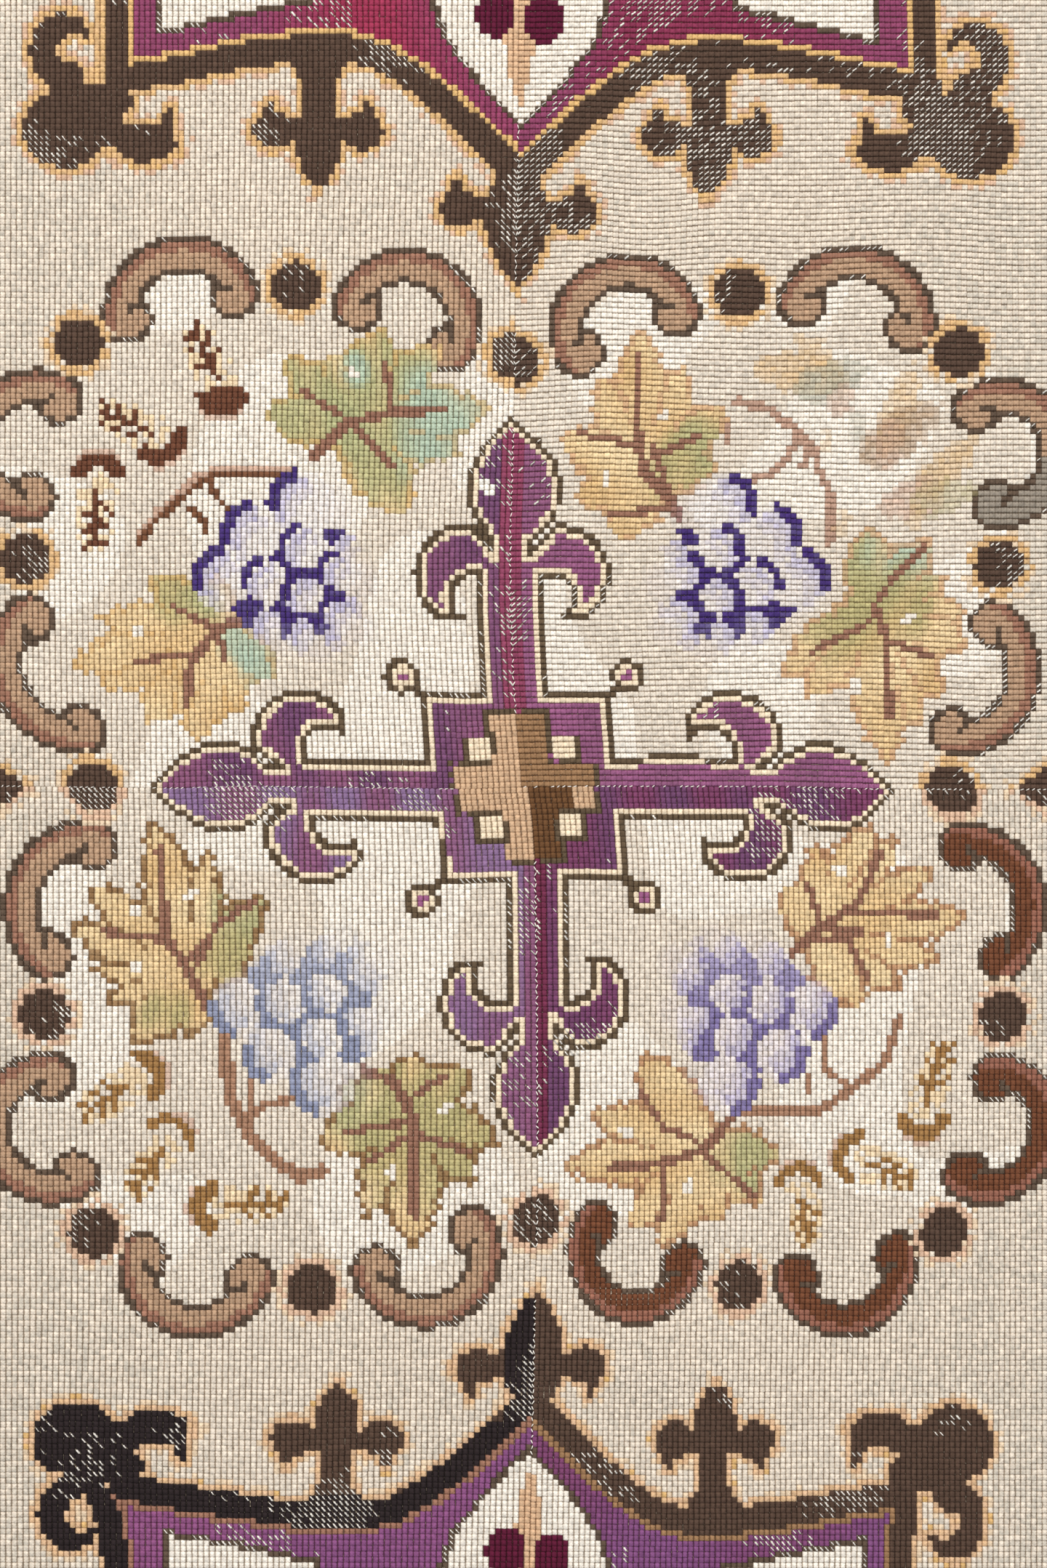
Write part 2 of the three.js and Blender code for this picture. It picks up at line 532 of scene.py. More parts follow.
def lay_halo(panel, depth):
    """Gold next to a dark shape, and rose or pale wool in half the places outside that."""
    q = panel.s, panel.t
    lay_in(panel, (depth > -1.15) & (depth <= 0), "gold halo")
    outer = (depth > -2.0) & (depth <= -1.15) & (chance(q, 9) < 0.5)
    lay_in(panel, outer, "rose halo" if panel.north else "pale halo")


# %% [markdown]
# ## Vine leaves
#
# A leaf is a fan of toothed lobes that share a root. Each lobe was outlined before the next one
# was worked over it, so a darker line runs round the leaf and part of the way between lobes.
# Inside, pale gold shades into green or blue-green where the dyer's yellow has gone. A leaf row
# gives its root, its lobes as turn, length and half width, its veins, its green places as
# s, t, reach and wool, and the small holes where white ground shows.

# %% Leaves
LEAVES = {
    "nw": [
        dict(root=(29, 65), lobes=[(4, 15.5, 5.8), (43, 17, 4.8), (76, 13, 5.4), (109, 18, 6.5),
                                   (140, 21.6, 5.4), (174, 25.6, 6.4), (-165, 21.2, 5.4), (-122, 20, 6.5)],
             veins=[[(35.5, 58.5), (29, 65), (21.5, 66.5), (13, 67.5)], [(21.5, 66), (23, 75)],
                    [(29, 65), (38, 70.5)], [(29, 65), (21.5, 57)]],
             green=[(37, 68, 14, "leaf green"), (24, 61, 15, "leaf green"), (22, 74, 10, "leaf green"),
                    (13, 67, 10, "leaf teal"), (12, 59, 9, "leaf teal"), (28.7, 74, 3.5, "leaf teal")],
             holes=[(28.7, 73.5)]),
        dict(root=(52.5, 27.5), lobes=[(-60, 17, 7.5), (-25, 24, 5), (-13, 27.2, 5.8), (7, 21.6, 5.0),
                                       (42, 15.6, 4.8), (93, 11, 4.2), (70, 11, 4.2), (-142, 13.9, 4.9),
                                       (-103, 15.4, 4.9), (-77, 20.5, 6.0), (-50, 21.5, 5.8)],
             veins=[[(45.5, 30), (52.3, 28), (57, 22), (58.5, 14.5)], [(55, 24), (66.5, 22.5)],
                    [(52.3, 28), (59.5, 32)], [(52.3, 28), (51, 23)]],
             green=[(59, 35, 7, "leaf moss"), (54, 34, 5, "leaf green"), (48, 25, 5.5, "leaf teal"),
                    (45, 20.5, 6, "leaf teal")], holes=[(66.4, 27.8)]),
    ],
    "ne": [
        dict(root=(23, 56.5), lobes=[(93, 26.5, 6.2), (71, 21.2, 5.2), (40, 18.8, 5.6), (6, 13.6, 5.2),
                                     (115, 19.9, 5.4), (155, 16.6, 5.8), (-157, 13, 5.4), (-108, 13, 6.2)],
             veins=[[(31, 47), (23, 57), (21.5, 65), (21.5, 77.5)], [(21.5, 61.5), (12, 63.5)],
                    [(26, 60), (33, 63.5)], [(28, 52), (24, 62)], [(27, 50), (18, 49)]],
             green=[(31, 57, 9, "leaf moss"), (35, 62, 6, "leaf green")],
             holes=[(26.2, 66.7), (16.4, 55.7)]),
        dict(root=(64, 33), lobes=[(-72, 24, 5), (-5, 17, 5), (-87, 29, 6.5), (-126, 21.5, 5.8),
                                   (-142, 21.7, 5.2), (94, 14.5, 5.8), (51, 16, 5.2), (22, 14, 5.0),
                                   (-24, 18.1, 6.5), (-55, 20.8, 5.4)],
             veins=[[(64, 33), (66, 28), (66, 13.5)], [(65, 34), (68, 39), (73, 44)],
                    [(66, 27), (74, 24)], [(63, 30), (53, 24.5)]],
             green=[(61, 38, 10, "leaf green"), (69, 42.5, 7, "leaf teal"), (59, 30, 9, "leaf moss"),
                    (68, 34, 8, "leaf moss")], holes=[(70.2, 30.7), (60.4, 18.5)]),
    ],
    "sw": [
        dict(root=(60.5, 33), lobes=[(-78, 28.6, 6.0), (-99, 22.3, 5.2), (-136, 19.4, 5.4),
                                     (-155, 12.6, 5.8), (-22, 23.1, 5.4), (-42, 24.1, 5.2),
                                     (-3, 17.5, 4.4), (18, 16.3, 4.2), (50, 16.3, 5.8), (88, 12, 4.8)],
             veins=[[(57.5, 39), (60.5, 33), (65, 26), (65.5, 11)], [(64, 27), (76, 25.5)],
                    [(61, 31), (55, 24), (48.5, 20)], [(60.5, 33), (57.5, 28)]],
             green=[(50, 22, 9, "leaf green"), (54, 30, 6, "leaf moss"), (65, 40, 5, "leaf moss")],
             holes=[(60.5, 19), (70.1, 31.5), (70.1, 21.6)]),
        dict(root=(22.5, 56.5), lobes=[(92, 25.5, 6.4), (68, 21.5, 5.2), (24, 17.5, 6.2), (-14, 13, 5.6),
                                       (-44, 9.4, 5.2), (-97, 10, 5.2), (-148, 13, 5.0), (158, 17.3, 5.4),
                                       (131, 17.9, 5.2)],
             veins=[[(30.5, 50), (25, 52), (21.8, 58), (21.5, 75.5)], [(22, 61), (29, 66)],
                    [(21.5, 61), (12.5, 64)], [(22.5, 55), (16.5, 51)], [(22, 59), (33, 61)]],
             green=[(31.5, 57, 9, "leaf green"), (22, 63, 13, "leaf moss"), (14.5, 54, 11, "leaf moss"),
                    (11, 64, 9, "leaf moss"), (28, 50, 6, "leaf moss")], holes=[(15.8, 56.3), (25.5, 68)]),
    ],
    "se": [
        dict(root=(52, 25), lobes=[(-50, 22, 5), (-64, 21.7, 5.6), (-94, 15.5, 4.9), (-135, 10.6, 5.2),
                                   (-28, 23.7, 5.2), (-5, 28.1, 5.4), (14, 23.2, 5.1), (36, 18.6, 5.4),
                                   (62, 16.5, 6.2)],
             veins=[[(47, 29.5), (52, 25), (58.5, 20.5), (62.5, 11.5)], [(55, 22), (73.5, 22.5)],
                    [(51, 27.5), (57, 27), (61, 34)], [(52, 25), (49.5, 17)], [(53, 25.5), (60, 25.5)]],
             green=[(53, 32.5, 7, "leaf pale")], holes=[(55.3, 14.6), (64.5, 26.6)]),
        dict(root=(31, 65), lobes=[(-124, 21.2, 6.6), (-162, 22.6, 5.8), (174, 27.2, 5.8), (135, 19.8, 5.4),
                                   (113, 19, 5.8), (77, 13.8, 5.6), (38, 15.3, 5.0), (2, 15, 5.4)],
             veins=[[(37, 58.5), (31.5, 64.5), (24, 67), (14, 68)], [(30, 63), (24, 61), (19, 54)],
                    [(24, 67), (23.5, 77.5)], [(31, 65), (41, 73)]],
             green=[(40, 66, 8, "leaf green")], holes=[(16.7, 61.6), (28.5, 71.3)]),
    ],
}
# The wool of the outlines and how strong it still is
LEAF_LINE = {
    "nw": ("leaf ochre", 0.45),
    "ne": ("leaf rose", 0.7),
    "sw": ("leaf olive", 0.95),
    "se": ("leaf line", 0.85),
}
LEAF_HEART = 5.5
LEAF_BLUNT = 0.7
LEAF_TEETH = 1.2
HOLE_RADII = (1.5, 0.9)


def lay_leaf(panel, root, lobes, veins, green, holes):
    q = panel.s, panel.t
    depths = []
    for turn, size, half in lobes:
        depths.append(petal(q, root, point(root, size, turn), half, LEAF_BLUNT, LEAF_TEETH))
    depth = np.maximum.reduce([*depths, disc(q, root, LEAF_HEART)])
    second = np.sort(depths, 0)[-2]
    wool = mixed("leaf gold", "leaf pale", 0.5 + 0.45 * waves(q[0], q[1], 14, SEED + 20 + round(root[0])))
    for s, t, reach, tint in green:
        within = 1 - (np.hypot(q[0] - s, q[1] - t) / reach) ** 2 + 0.35 * waves(q[0], q[1], 9, SEED + 24)
        wool = mixed(wool, tint, np.clip(within, 0, 0.85))
    lay_in(panel, depth > 0, wool)
    line, strength = LEAF_LINE[panel.name]
    lined = mixed(wool, line, strength + 0.3 * (chance(q, 12) - 0.5))
    parted = (depth > 0.3) & (depth - second < 0.75) & (np.hypot(q[0] - root[0], q[1] - root[1]) > 9)
    lay_in(panel, ((depth > 0) & (depth < 1.1)) | parted, lined)
    for k, vein in enumerate(veins):
        lay_in(panel, (path(q, vein, 0.85 if k == 0 else 0.6) > 0) & (depth > -4), "vein")
    for k, hole in enumerate(holes):
        lay_in(panel, oval(q, hole, HOLE_RADII, 35 + 50 * k) > 0, "inner white")


# %% [markdown]
# ## Grapes
#
# A bunch is ten round grapes that grow smaller towards its tip. Each has a dark crescent on its
# outer side, and dark wool fills the small gaps where three grapes meet. The grapes themselves
# are pale wool, close to the ground. The bunch is lit from the cross, so the same dark parts
# shifted towards the cross and worked in a blend of wools give the soft shading.

# %% Grapes
# Each grape's middle and radius, from the stem down to the tip of the bunch
FAR_GRAPES = [(37.3, 50.3, 5.9), (45.5, 44.8, 5.9), (36.4, 42.6, 4.6), (50.6, 37.0, 5.8), (43.2, 36.2, 4.6),
              (36.6, 34.0, 4.0), (30.4, 38.4, 3.8), (43.6, 29.0, 3.4), (37.4, 27.4, 3.2), (30.8, 30.6, 3.4)]
NEAR_GRAPES = [(35.8, 53.0, 5.5), (45.0, 47.4, 5.2), (36.2, 44.6, 4.6), (50.3, 39.4, 5.3), (42.8, 38.6, 4.6),
               (35.4, 36.8, 4.2), (29.4, 42.0, 3.8), (43.0, 31.4, 3.6), (35.6, 29.8, 3.2), (29.0, 33.4, 3.4)]
BIG_GRAPE = 5
# The dark crescent: from and to which angle it goes, and how wide it is on big and small grapes
CRESCENT = -20, 84
WIDE_CRESCENT = 1.8
SLIM_CRESCENT = 1.3
# Dark, mid and pale wool, how far the mid wool covers, and how far the bunch lies off its chart
GRAPE_WOOLS = {
    "nw": ("grape dark", "grape mid", "grape pale", 0.75, (0, 0)),
    "ne": ("grape dark", "grape mid", "grape pale", 0.7, (0, 0.3)),
    "sw": ("blue dark", "blue mid", "blue pale", 0.75, (1.5, -0.3)),
    "se": ("mauve dark", "mauve mid", "mauve pale", 0.8, (0, 0)),
}


def grape_shadows(q, grapes):
    """A dark crescent on the outer side of each grape, and dark wool where three grapes meet."""
    parts = []
    for s, t, r in grapes:
        width = WIDE_CRESCENT if r > BIG_GRAPE else SLIM_CRESCENT
        parts.append(arc(q, (s, t), r - width, r + 0.3, *CRESCENT))
    nearness = np.sort([disc(q, (s, t), r) for s, t, r in grapes], 0)
    parts.append(np.minimum(0.7 - nearness[-1], nearness[-3] + 3.6))
    return np.maximum.reduce(parts)


def lay_grapes(panel):
    dark, mid, pale, cover, off = GRAPE_WOOLS[panel.name]
    q = panel.s - off[0], panel.t - off[1]
    grapes = FAR_GRAPES if panel.north else NEAR_GRAPES
    whole = np.maximum.reduce([disc(q, g[:2], g[2]) for g in grapes])
    near_cross = np.maximum.reduce([disc(q, (g[0] - 3, g[1] - 2), g[2] + 1) for g in grapes])
    lay_in(panel, near_cross > 0, mixed(panel.wool, mid, 0.18 * cover * np.clip(near_cross / 2, 0, 1)))
    lay_in(panel, whole > 0, mixed(panel.wool, pale, 0.5 + 0.4 * (chance(q, 62) - 0.5)))
    for step, share in ((2.8, 0.4), (1.4, 0.9)):
        hazy = grape_shadows((q[0] + step, q[1] + step), grapes) > 0
        lay_in(panel, hazy, mixed(panel.wool, mid, cover * share * (0.75 + 0.5 * chance(q, 63))))
    fade = np.clip((30 - q[1]) / 14, 0, 0.3) if panel.north else np.clip((42 - q[1]) / 20, 0, 0.6)
    lay_in(panel, grape_shadows(q, grapes) > 0, mixed(dark, mid, fade + 0.2 * (chance(q, 64) - 0.5)))


# %% [markdown]
# ## Branches, acorn sprigs and faded leaves
#
# The thin things are rods one or two stitches wide. A sprig is a cup shaped like a bowl, a twig
# that grows out of it with short side twigs, and a haze of pale gold round them. In the
# north-east panel the brown wool of the sprigs has gone and only pale lobes are left.

# %% Branches and sprigs
# Wool, half width, the line of the branch, and the lines of its twigs
BRANCHES = {
    "nw": ("branch", 0.6, [(39, 55.4), (52.4, 55.4), (55.9, 53.7), (59.6, 50.3), (62.8, 47.7), (66, 43.2)],
           [[(53.5, 54), (52.4, 51.7), (50.7, 49.7)], [(56.7, 49.7), (54.7, 47.5), (54.1, 45.5)]]),
    "ne": ("rose branch", 0.8, [(38.9, 69.5), (44.5, 68), (48.3, 65.3), (51, 62.5), (52.8, 60.5),
                                (53.8, 57), (56, 53), (56.2, 44.5)],
           [[(49, 62), (48.4, 59.5), (46, 56.6), (42, 55.2)], [(51, 61.5), (51, 57.5)],
            [(37.5, 64.5), (37.5, 62)]]),
    "sw": ("tan branch", 1.1, [(54.5, 43), (54, 54.5), (50.5, 61.5), (45.5, 66.5), (41.5, 69), (37.5, 68)],
           [[(50.5, 59), (50, 52)], [(50.5, 59), (47.5, 56), (42.5, 55.5)]]),
    "se": ("tan branch", 0.85, [(38.7, 58), (52.5, 57.8), (58.5, 53.5), (64.5, 49), (67, 41)],
           [[(53.6, 44.5), (53.6, 50), (58, 53)], [(50.7, 51), (51, 54)]]),
}
# Wool, then each cup's middle, the way it opens, how hollow it is, and its twig's turn and length
SPRIGS = {
    "nw": ("sprig brown", [(51.8, 71, 90, 0.5, 62, 11.5), (63, 62.6, 60, 2.6, 22, 10.5),
                           (73.4, 54, -90, 2.6, -88, 11)]),
    "sw": ("sprig olive", [(70, 51.5, 20, 2.5, 35, 11), (64.8, 63, 58, 3.4, 55, 10),
                           (55.5, 74.3, 180, 2.2, 183, 11)]),
    "se": ("sprig olive", [(72.3, 57.3, -90, 2.6, -75, 12), (61, 66, 10, 3.0, 20, 10),
                           (49.4, 72, 85, 3.2, 75, 9)]),
}
CUP_RADIUS = 5.2
CUP_BACK = 6.1
TWIG_HALF = 0.5
# The share of the twig's length at which two side twigs grow, and how long they are
SIDE_TWIGS = [(0.34, 3.4), (0.62, 3.0), (0.9, 2.2)]
SIDE_TURN = 50
# Root, tip, half width and wool of each pale lobe, and how strong it still is
FADED = [
    ((58, 74), (40.5, 75.5), 4.6, "leaf gold", 0.62), ((57, 74), (48.5, 82), 3.0, "leaf gold", 0.5),
    ((49, 71), (62, 76.5), 4.2, "faded green", 0.62), ((58.5, 72.5), (55.5, 66.5), 2.8, "faded rose", 0.55),
    ((65, 60), (69.8, 77), 3.6, "leaf gold", 0.6), ((61, 59), (75, 69.5), 4.8, "faded brown", 0.62),
    ((66, 67), (65.5, 56), 3.2, "faded rose", 0.5), ((60, 68), (60.5, 61), 2.0, "faded green", 0.4),
    ((71, 53), (82, 64), 3.6, "leaf gold", 0.6), ((76, 54), (64, 50), 4.2, "faded rose", 0.6),
    ((70, 51.5), (82, 54), 3.8, "leaf moss", 0.45), ((72, 51), (70, 46.5), 2.4, "leaf gold", 0.45),
    ((55, 60.5), (55, 65), 1.8, "leaf gold", 0.4), ((58, 45.5), (58.5, 51), 2.0, "leaf gold", 0.4),
]


def lay_faded(panel):
    q = panel.s, panel.t
    for k, (root, tip, half, wool, strength) in enumerate(FADED):
        lobe = petal(q, root, tip, half, 0.6, 1.3)
        share = strength * np.clip(0.65 + lobe / 3, 0, 1) * (0.75 + 0.5 * chance(q, 75 + k))
        lay_in(panel, lobe > 0, mixed(panel.wool, wool, share))


def lay_sprig(panel, wool, s, t, opening, hollow, lean, size):
    q = panel.s, panel.t
    heart = s, t
    haze = bar(q, point(heart, 2, lean), point(heart, size - 2, lean), 3.6, 3.0)
    lay_in(panel, (haze > 0) & (chance(q, 71) < 0.6), mixed(panel.wool, "sprig gold", 0.8))
    back = arc(q, heart, hollow, CUP_BACK, opening + 140, opening + 220)
    lay_in(panel, back > 0, mixed(panel.wool, "faded rose", 0.8))
    lay_in(panel, arc(q, heart, hollow, CUP_RADIUS, opening + 100, opening + 260) > 0, wool)
    twig = bar(q, point(heart, 1.5, lean), point(heart, size, lean), TWIG_HALF)
    for out, reach in SIDE_TWIGS:
        for side in (-1, 1):
            foot = point(heart, out * size + 0.5 * side, lean)
            twig = np.maximum(twig, bar(q, foot, point(foot, reach, lean + SIDE_TURN * side), 0.46))
    lay_in(panel, twig > 0, wool)


def lay_branches(panel):
    q = panel.s, panel.t
    wool, half, main, twigs = BRANCHES[panel.name]
    if panel.name == "nw":
        lay_in(panel, path((q[0], q[1] - 1.2), main, 0.7) > 0, "faded rose")
    lay_in(panel, path(q, main, half) > 0, wool)
    for twig in twigs:
        lay_in(panel, path(q, twig, 0.6) > 0, wool)
    if panel.name == "ne":
        lay_faded(panel)
        return
    wool, places = SPRIGS[panel.name]
    for place in places:
        lay_sprig(panel, wool, *place)


# %% [markdown]
# ## The cross in the middle
#
# The cross is the same along both axes, so one arm is drawn and the chart is turned over its
# diagonal for the other. An arm has a bar, a pointed bulb and a hooked petal. The whole has a
# dark line with a cream line inside it, and the fill differs from panel to panel.

# %% Cross
# A corner past both seams, where the boxes of the cross start
PAST_SEAMS = (-9, -9)
ARM = (42.4, 5.5)
NECK = (50, 3.6)
SQUARE = (16.9, 16.9)
BULB = ((42.5, 0), (65.8, 0), 8.2)
HOOK = ((38.0, 8.0), 9.2)
HOOK_CUT = 30.4
HOOK_NOTCH = ((34.0, 6.4), (3.8, 3.9))
# The outer side of the hook slopes through this place by so many columns for each row, and the
# length of that slope turns the columns into a depth
HOOK_SIDE = (43.2, 3.4)
HOOK_SLOPE = 1.25
HOOK_SLOPE_LENGTH = 1.6
LOOP = (19.9, 19.8)
LOOP_RADIUS = 3.1
SMALL_CROSS = [(12.2, 4.2), (4.6, 12.8)]
SPOT = ((5.2, 4.6), (9.2, 8.6))
CENTRE_TINTS = {"nw": "tan", "ne": "brown tan", "sw": "tan", "se": "dark tan"}
# Columns of the north-east panel, and the charted columns that they stand for
NE_COLUMNS = [0, 6.3, 17.3, 26, 110]
USUAL_COLUMNS = [0, 5.5, 16.9, 26, 110]
# The wools of three dye lots, and the share that is worn
PURPLES = {
    "nw": ("plum", "violet", "magenta", 0.16),
    "ne": ("rose plum", "plum", "magenta", 0.12),
    "sw": ("lilac plum", "plum", "plum", 0.34),
    "se": ("dark plum", "violet", "wine", 0.2),
}


def cross_arm(q):
    rod = box(q, PAST_SEAMS, ARM)
    neck = box(q, PAST_SEAMS, NECK)
    bulb = petal(q, *BULB)
    hook = np.minimum(disc(q, *HOOK), q[0] - HOOK_CUT)
    hook = np.minimum(hook, -oval(q, *HOOK_NOTCH))
    side = HOOK_SIDE[0] + HOOK_SLOPE * (q[1] - HOOK_SIDE[1]) - q[0]
    hook = np.minimum(hook, side / HOOK_SLOPE_LENGTH)
    return np.maximum.reduce([rod, neck, bulb, hook])


def lay_purple(panel, where, seed):
    """Purple from three dye lots that change in long streaks along the rows."""
    q = panel.s, panel.t
    first, second, third, share = PURPLES[panel.name]
    streaks = waves(q[0] * 3, q[1] * 0.6, 40, SEED + seed)
    streaks = streaks + 0.5 * waves(q[0] * 0.6, q[1], 30, SEED + seed + 1)
    worn = wear(panel, share, seed)
    lay_in(panel, where, mixed(first, second, np.clip(0.4 + 0.75 * streaks, 0, 0.9)), worn)
    lay_in(panel, where & (q[0] < 2.2) & (q[1] > 6), third, worn)


def lay_cross(panel):
    s = panel.s
    if panel.name == "ne":
        s = np.interp(s, NE_COLUMNS, USUAL_COLUMNS)
    q = s, panel.t
    turned = panel.t, s
    depth = np.maximum.reduce([cross_arm(q), cross_arm(turned), box(q, PAST_SEAMS, SQUARE)])
    loop = np.maximum(disc(q, LOOP, LOOP_RADIUS), bar(q, LOOP, SQUARE, 0.7))
    for deep, wool in ((0, "cross line"), (1, "cross cream"), (2.2, "rose plum")):
        lay_in(panel, loop > deep, wool)
    lay_in(panel, depth > 0, "cross line", wear(panel, 0.25, 81))
    lay_in(panel, depth > 1, "cross cream")
    lay_purple(panel, depth > 2, 82)
    small = np.maximum.reduce([box(q, PAST_SEAMS, corner) for corner in SMALL_CROSS])
    lay_in(panel, (small > -0.9) & (small <= 0) & (chance(q, 14) < 0.75), "cross line")
    lay_in(panel, small > 0, CENTRE_TINTS[panel.name])
    if panel.name == "se":
        lay_in(panel, (small > 0) & (q[0] > 8), "tan")
    spot = box(q, *SPOT)
    lay_in(panel, (spot > -0.9) & (spot <= 0) & (q[0] + q[1] > 10.5), "cross line")
    lay_in(panel, spot > 0, "cross cream")


# %% [markdown]
# ## The dark border
#
# Past the wreath a dark band swings from the middle to the corner, with gold on both sides.
# It carries lobed pendants, purple fills the space behind it, and a thin dark line closes off
# two white fields. All of it is bars, discs and petals again.

# %% Border
# The dark band, the bar at the side that closes it off, and the edge of the middle field
BAND_LINE = [(0, 109), (5.5, 114.6), (11.7, 120.5), (17.9, 125.6), (24, 129.5), (30, 131.1), (36.4, 131.4),
             (42.6, 130.6), (48.8, 129.7), (55, 128.6), (61, 127.4), (67.4, 126.3), (71.3, 125.6)]
BAND_HALF = 2.3
SIDE_BAR = {"nw": [(71.6, 125.6), (71.6, 144)], "ne": [(71.0, 125.6), (70.2, 144)],
            "sw": [(77, 124.5), (74, 130.5), (71.5, 144)], "se": [(72.2, 125.6), (70.6, 144)]}
FIELD_LINE = [(0.3, 119.1), (5.7, 124.4), (12.6, 133.3), (15.4, 142)]
# The white field at the side: its first and last column, and the rows where it starts there
SIDE_FIELD = (38, 63.4)
SIDE_FIELD_ROWS = [140, 134.6]
# The motif between the two fields starts with a stem and a bud
STEM = ((0, 146), (0, 121.5), 2.6)
BUD = ((4.2, 137.5), (3.6, 4.2))
# Two lobed pendants: level of the lobes, tip, half width, how far the lobes stand out, horns
SIDE_FLEUR = (116.6, 106.5, 3.8, 7.8, 5.0)
CENTRE_FLEUR = (103.0, 90, 4.0, 10.0, 5.4)
CENTRE_DROP = ((0, 112), (0, 89.8), 5.7, 0.75)
LOBE_RADII = (3.7, 3.3)
# Parts of the corner: an oval has middle, radii and turn, and a rod has its ends and radii
BALL = ((80.6, 116.7), (7.4, 6.8), 15)
BALL_ROD = ((78.5, 120.5), (71.8, 121.8), 4.2, 3.2)
LOBE = ((66.4, 114.4), (5.6, 3.3))
LOBE_ROD = ((75, 117), (69.8, 115.6), 2.5)
LOBE_TIP = ((62.9, 115), (61.8, 120.4), 2.0, 0.5)
END_HOOK = ((81.2, 130.6), (5.6, 6.8))
END_HOOK_GAP = ((76.2, 130.7), (5.7, 4.2))
END_HOOK_TIP = ((78.6, 135.4), (76.6, 133.4), 1.3, 0.6)
END_HOOK_ROD = ((79, 121), (80.5, 125.5), 3.4)
# Two wools, the length over which they change, and how much is worn
BORDER_PURPLES = {
    "nw": ("border rose", "border red", 50, 0.08),
    "ne": ("border rose", "border wine", 40, 0.3),
    "sw": ("border plum", "border rose plum", 50, 0.12),
    "se": ("border plum", "dark plum", 40, 0.15),
}
BORDER_WEAR = {"nw": 0.2, "ne": 0.5, "sw": 0.27, "se": 0.17}
BORDER_EDGE = {"nw": "gold halo", "ne": "gold halo", "sw": "scroll rim", "se": "brown tan"}


def read_line(points, value, along=0):
    """Where a line passes a column (along 0) or a row (along 1), as its other coordinate."""
    return np.interp(value, [p[along] for p in points], [p[1 - along] for p in points])


def fleur(q, middle, level, tip, half, out, horn):
    """A stem's end: a pointed drop between two lobes, each with a horn turned back up."""
    shape = petal(q, (middle, level + 3), (middle, tip), half, 0.55)
    for side in (-1, 1):
        heart = middle + side * out, level
        shape = np.maximum(shape, oval(q, heart, LOBE_RADII))
        shape = np.maximum(shape, bar(q, (middle, level + 0.6), heart, 1.9))
        shoulder = heart[0] + side * 1.2, level + 1.0
        shape = np.maximum(shape, bar(q, shoulder, (heart[0] + side * 0.9, level + horn), 2.0, 0.4))
    return shape


def corner_knot(panel, q):
    """A ball with a curled lobe towards the middle, and a C-shaped hook towards the far end."""
    parts = [oval(q, *BALL), oval(q, *LOBE), np.minimum(oval(q, *END_HOOK), -oval(q, *END_HOOK_GAP))]
    parts += [bar(q, *rod) for rod in (BALL_ROD, LOBE_ROD, LOBE_TIP, END_HOOK_TIP)]
    if panel.name != "sw":
        parts.append(bar(q, *END_HOOK_ROD))
    return np.maximum.reduce(parts)


def border_shape(panel, q):
    band = np.maximum(path(q, BAND_LINE, BAND_HALF), path(q, SIDE_BAR[panel.name], 2.2))
    across = np.abs(q[0] - panel.fleur)
    flare = 2.7 + 0.11 * np.clip(q[1] - 123.5, 0, 7) ** 2
    stem = np.minimum.reduce([flare - across, q[1] - 113, 131 - q[1]])
    side_drop = fleur(q, panel.fleur, *SIDE_FLEUR)
    centre_drop = np.maximum(fleur(q, 0, *CENTRE_FLEUR), petal(q, *CENTRE_DROP))
    knot = corner_knot(panel, (q[0] - panel.corner, q[1]))
    return np.maximum.reduce([band, stem, side_drop, centre_drop, knot])


def lay_border(panel):
    q = panel.s, panel.t
    behind = (q[1] > read_line(BAND_LINE, q[0])) & (q[0] < read_line(SIDE_BAR[panel.name], q[1], 1))
    first, second, spread, bare = BORDER_PURPLES[panel.name]
    blend = 0.35 + 0.6 * waves(q[0], q[1] * 0.6, spread, SEED + 33 + PANELS.index(panel))
    if panel.north:
        blend = blend + np.clip(1.1 - np.abs(q[0] - 27) / 14, -0.4, 0.8)
    lay_in(panel, behind, mixed(first, second, blend), wear(panel, bare, 91))
    middle_s = read_line(FIELD_LINE, q[1], 1)
    lay_in(panel, (q[1] > 118.2) & (q[0] < middle_s + 1.1), "scroll line", wear(panel, 0.3, 92))
    lay_in(panel, (q[1] > 119) & (q[0] < middle_s), "inner white")
    first_s, last_s = SIDE_FIELD[0], SIDE_FIELD[1] + panel.corner
    outer_t = np.interp(q[0], [first_s, last_s], SIDE_FIELD_ROWS)
    lined = (q[1] > outer_t - 1.1) & (q[0] > first_s - 1) & (q[0] < last_s + 1.2)
    lay_in(panel, lined, "scroll line", wear(panel, 0.3, 93))
    lay_in(panel, (q[1] > outer_t) & (q[0] > first_s) & (q[0] < last_s), "inner white")
    lay_in(panel, petal(q, *STEM) > 0, "stem tan")
    lay_in(panel, (oval(q, *BUD) > 0) & (q[0] > 0.8), "maroon")
    shape = border_shape(panel, q)
    edge = (shape > -1.1) & (shape <= 0)
    lay_halo(panel, np.where(behind & (shape < -1.1), OUTSIDE, shape))
    rosy = 0.1 if panel.north else 0.5
    lay_in(panel, edge, mixed("gold halo", "rose halo", rosy + 0.25 * chance(q, 95)))
    lay_in(panel, edge & behind, BORDER_EDGE[panel.name])
    worn = wear(panel, BORDER_WEAR[panel.name], 94)
    lay_in(panel, shape > 0, "black brown" if panel.name == "sw" else "brown", worn)
    pendant = (np.abs(q[0] - panel.fleur) < 12) | ((q[0] > 4.6) & (q[0] < 16) & (q[1] < 113))
    lay_in(panel, (shape > 0) & pendant & (q[1] < 127), "brown", worn)


# %% [markdown]
# ## Small damage
#
# One hole shows white thread in the purple beside the seam, and the wool on the neck of one
# hook is torn. Both are laid last, over the finished chart.

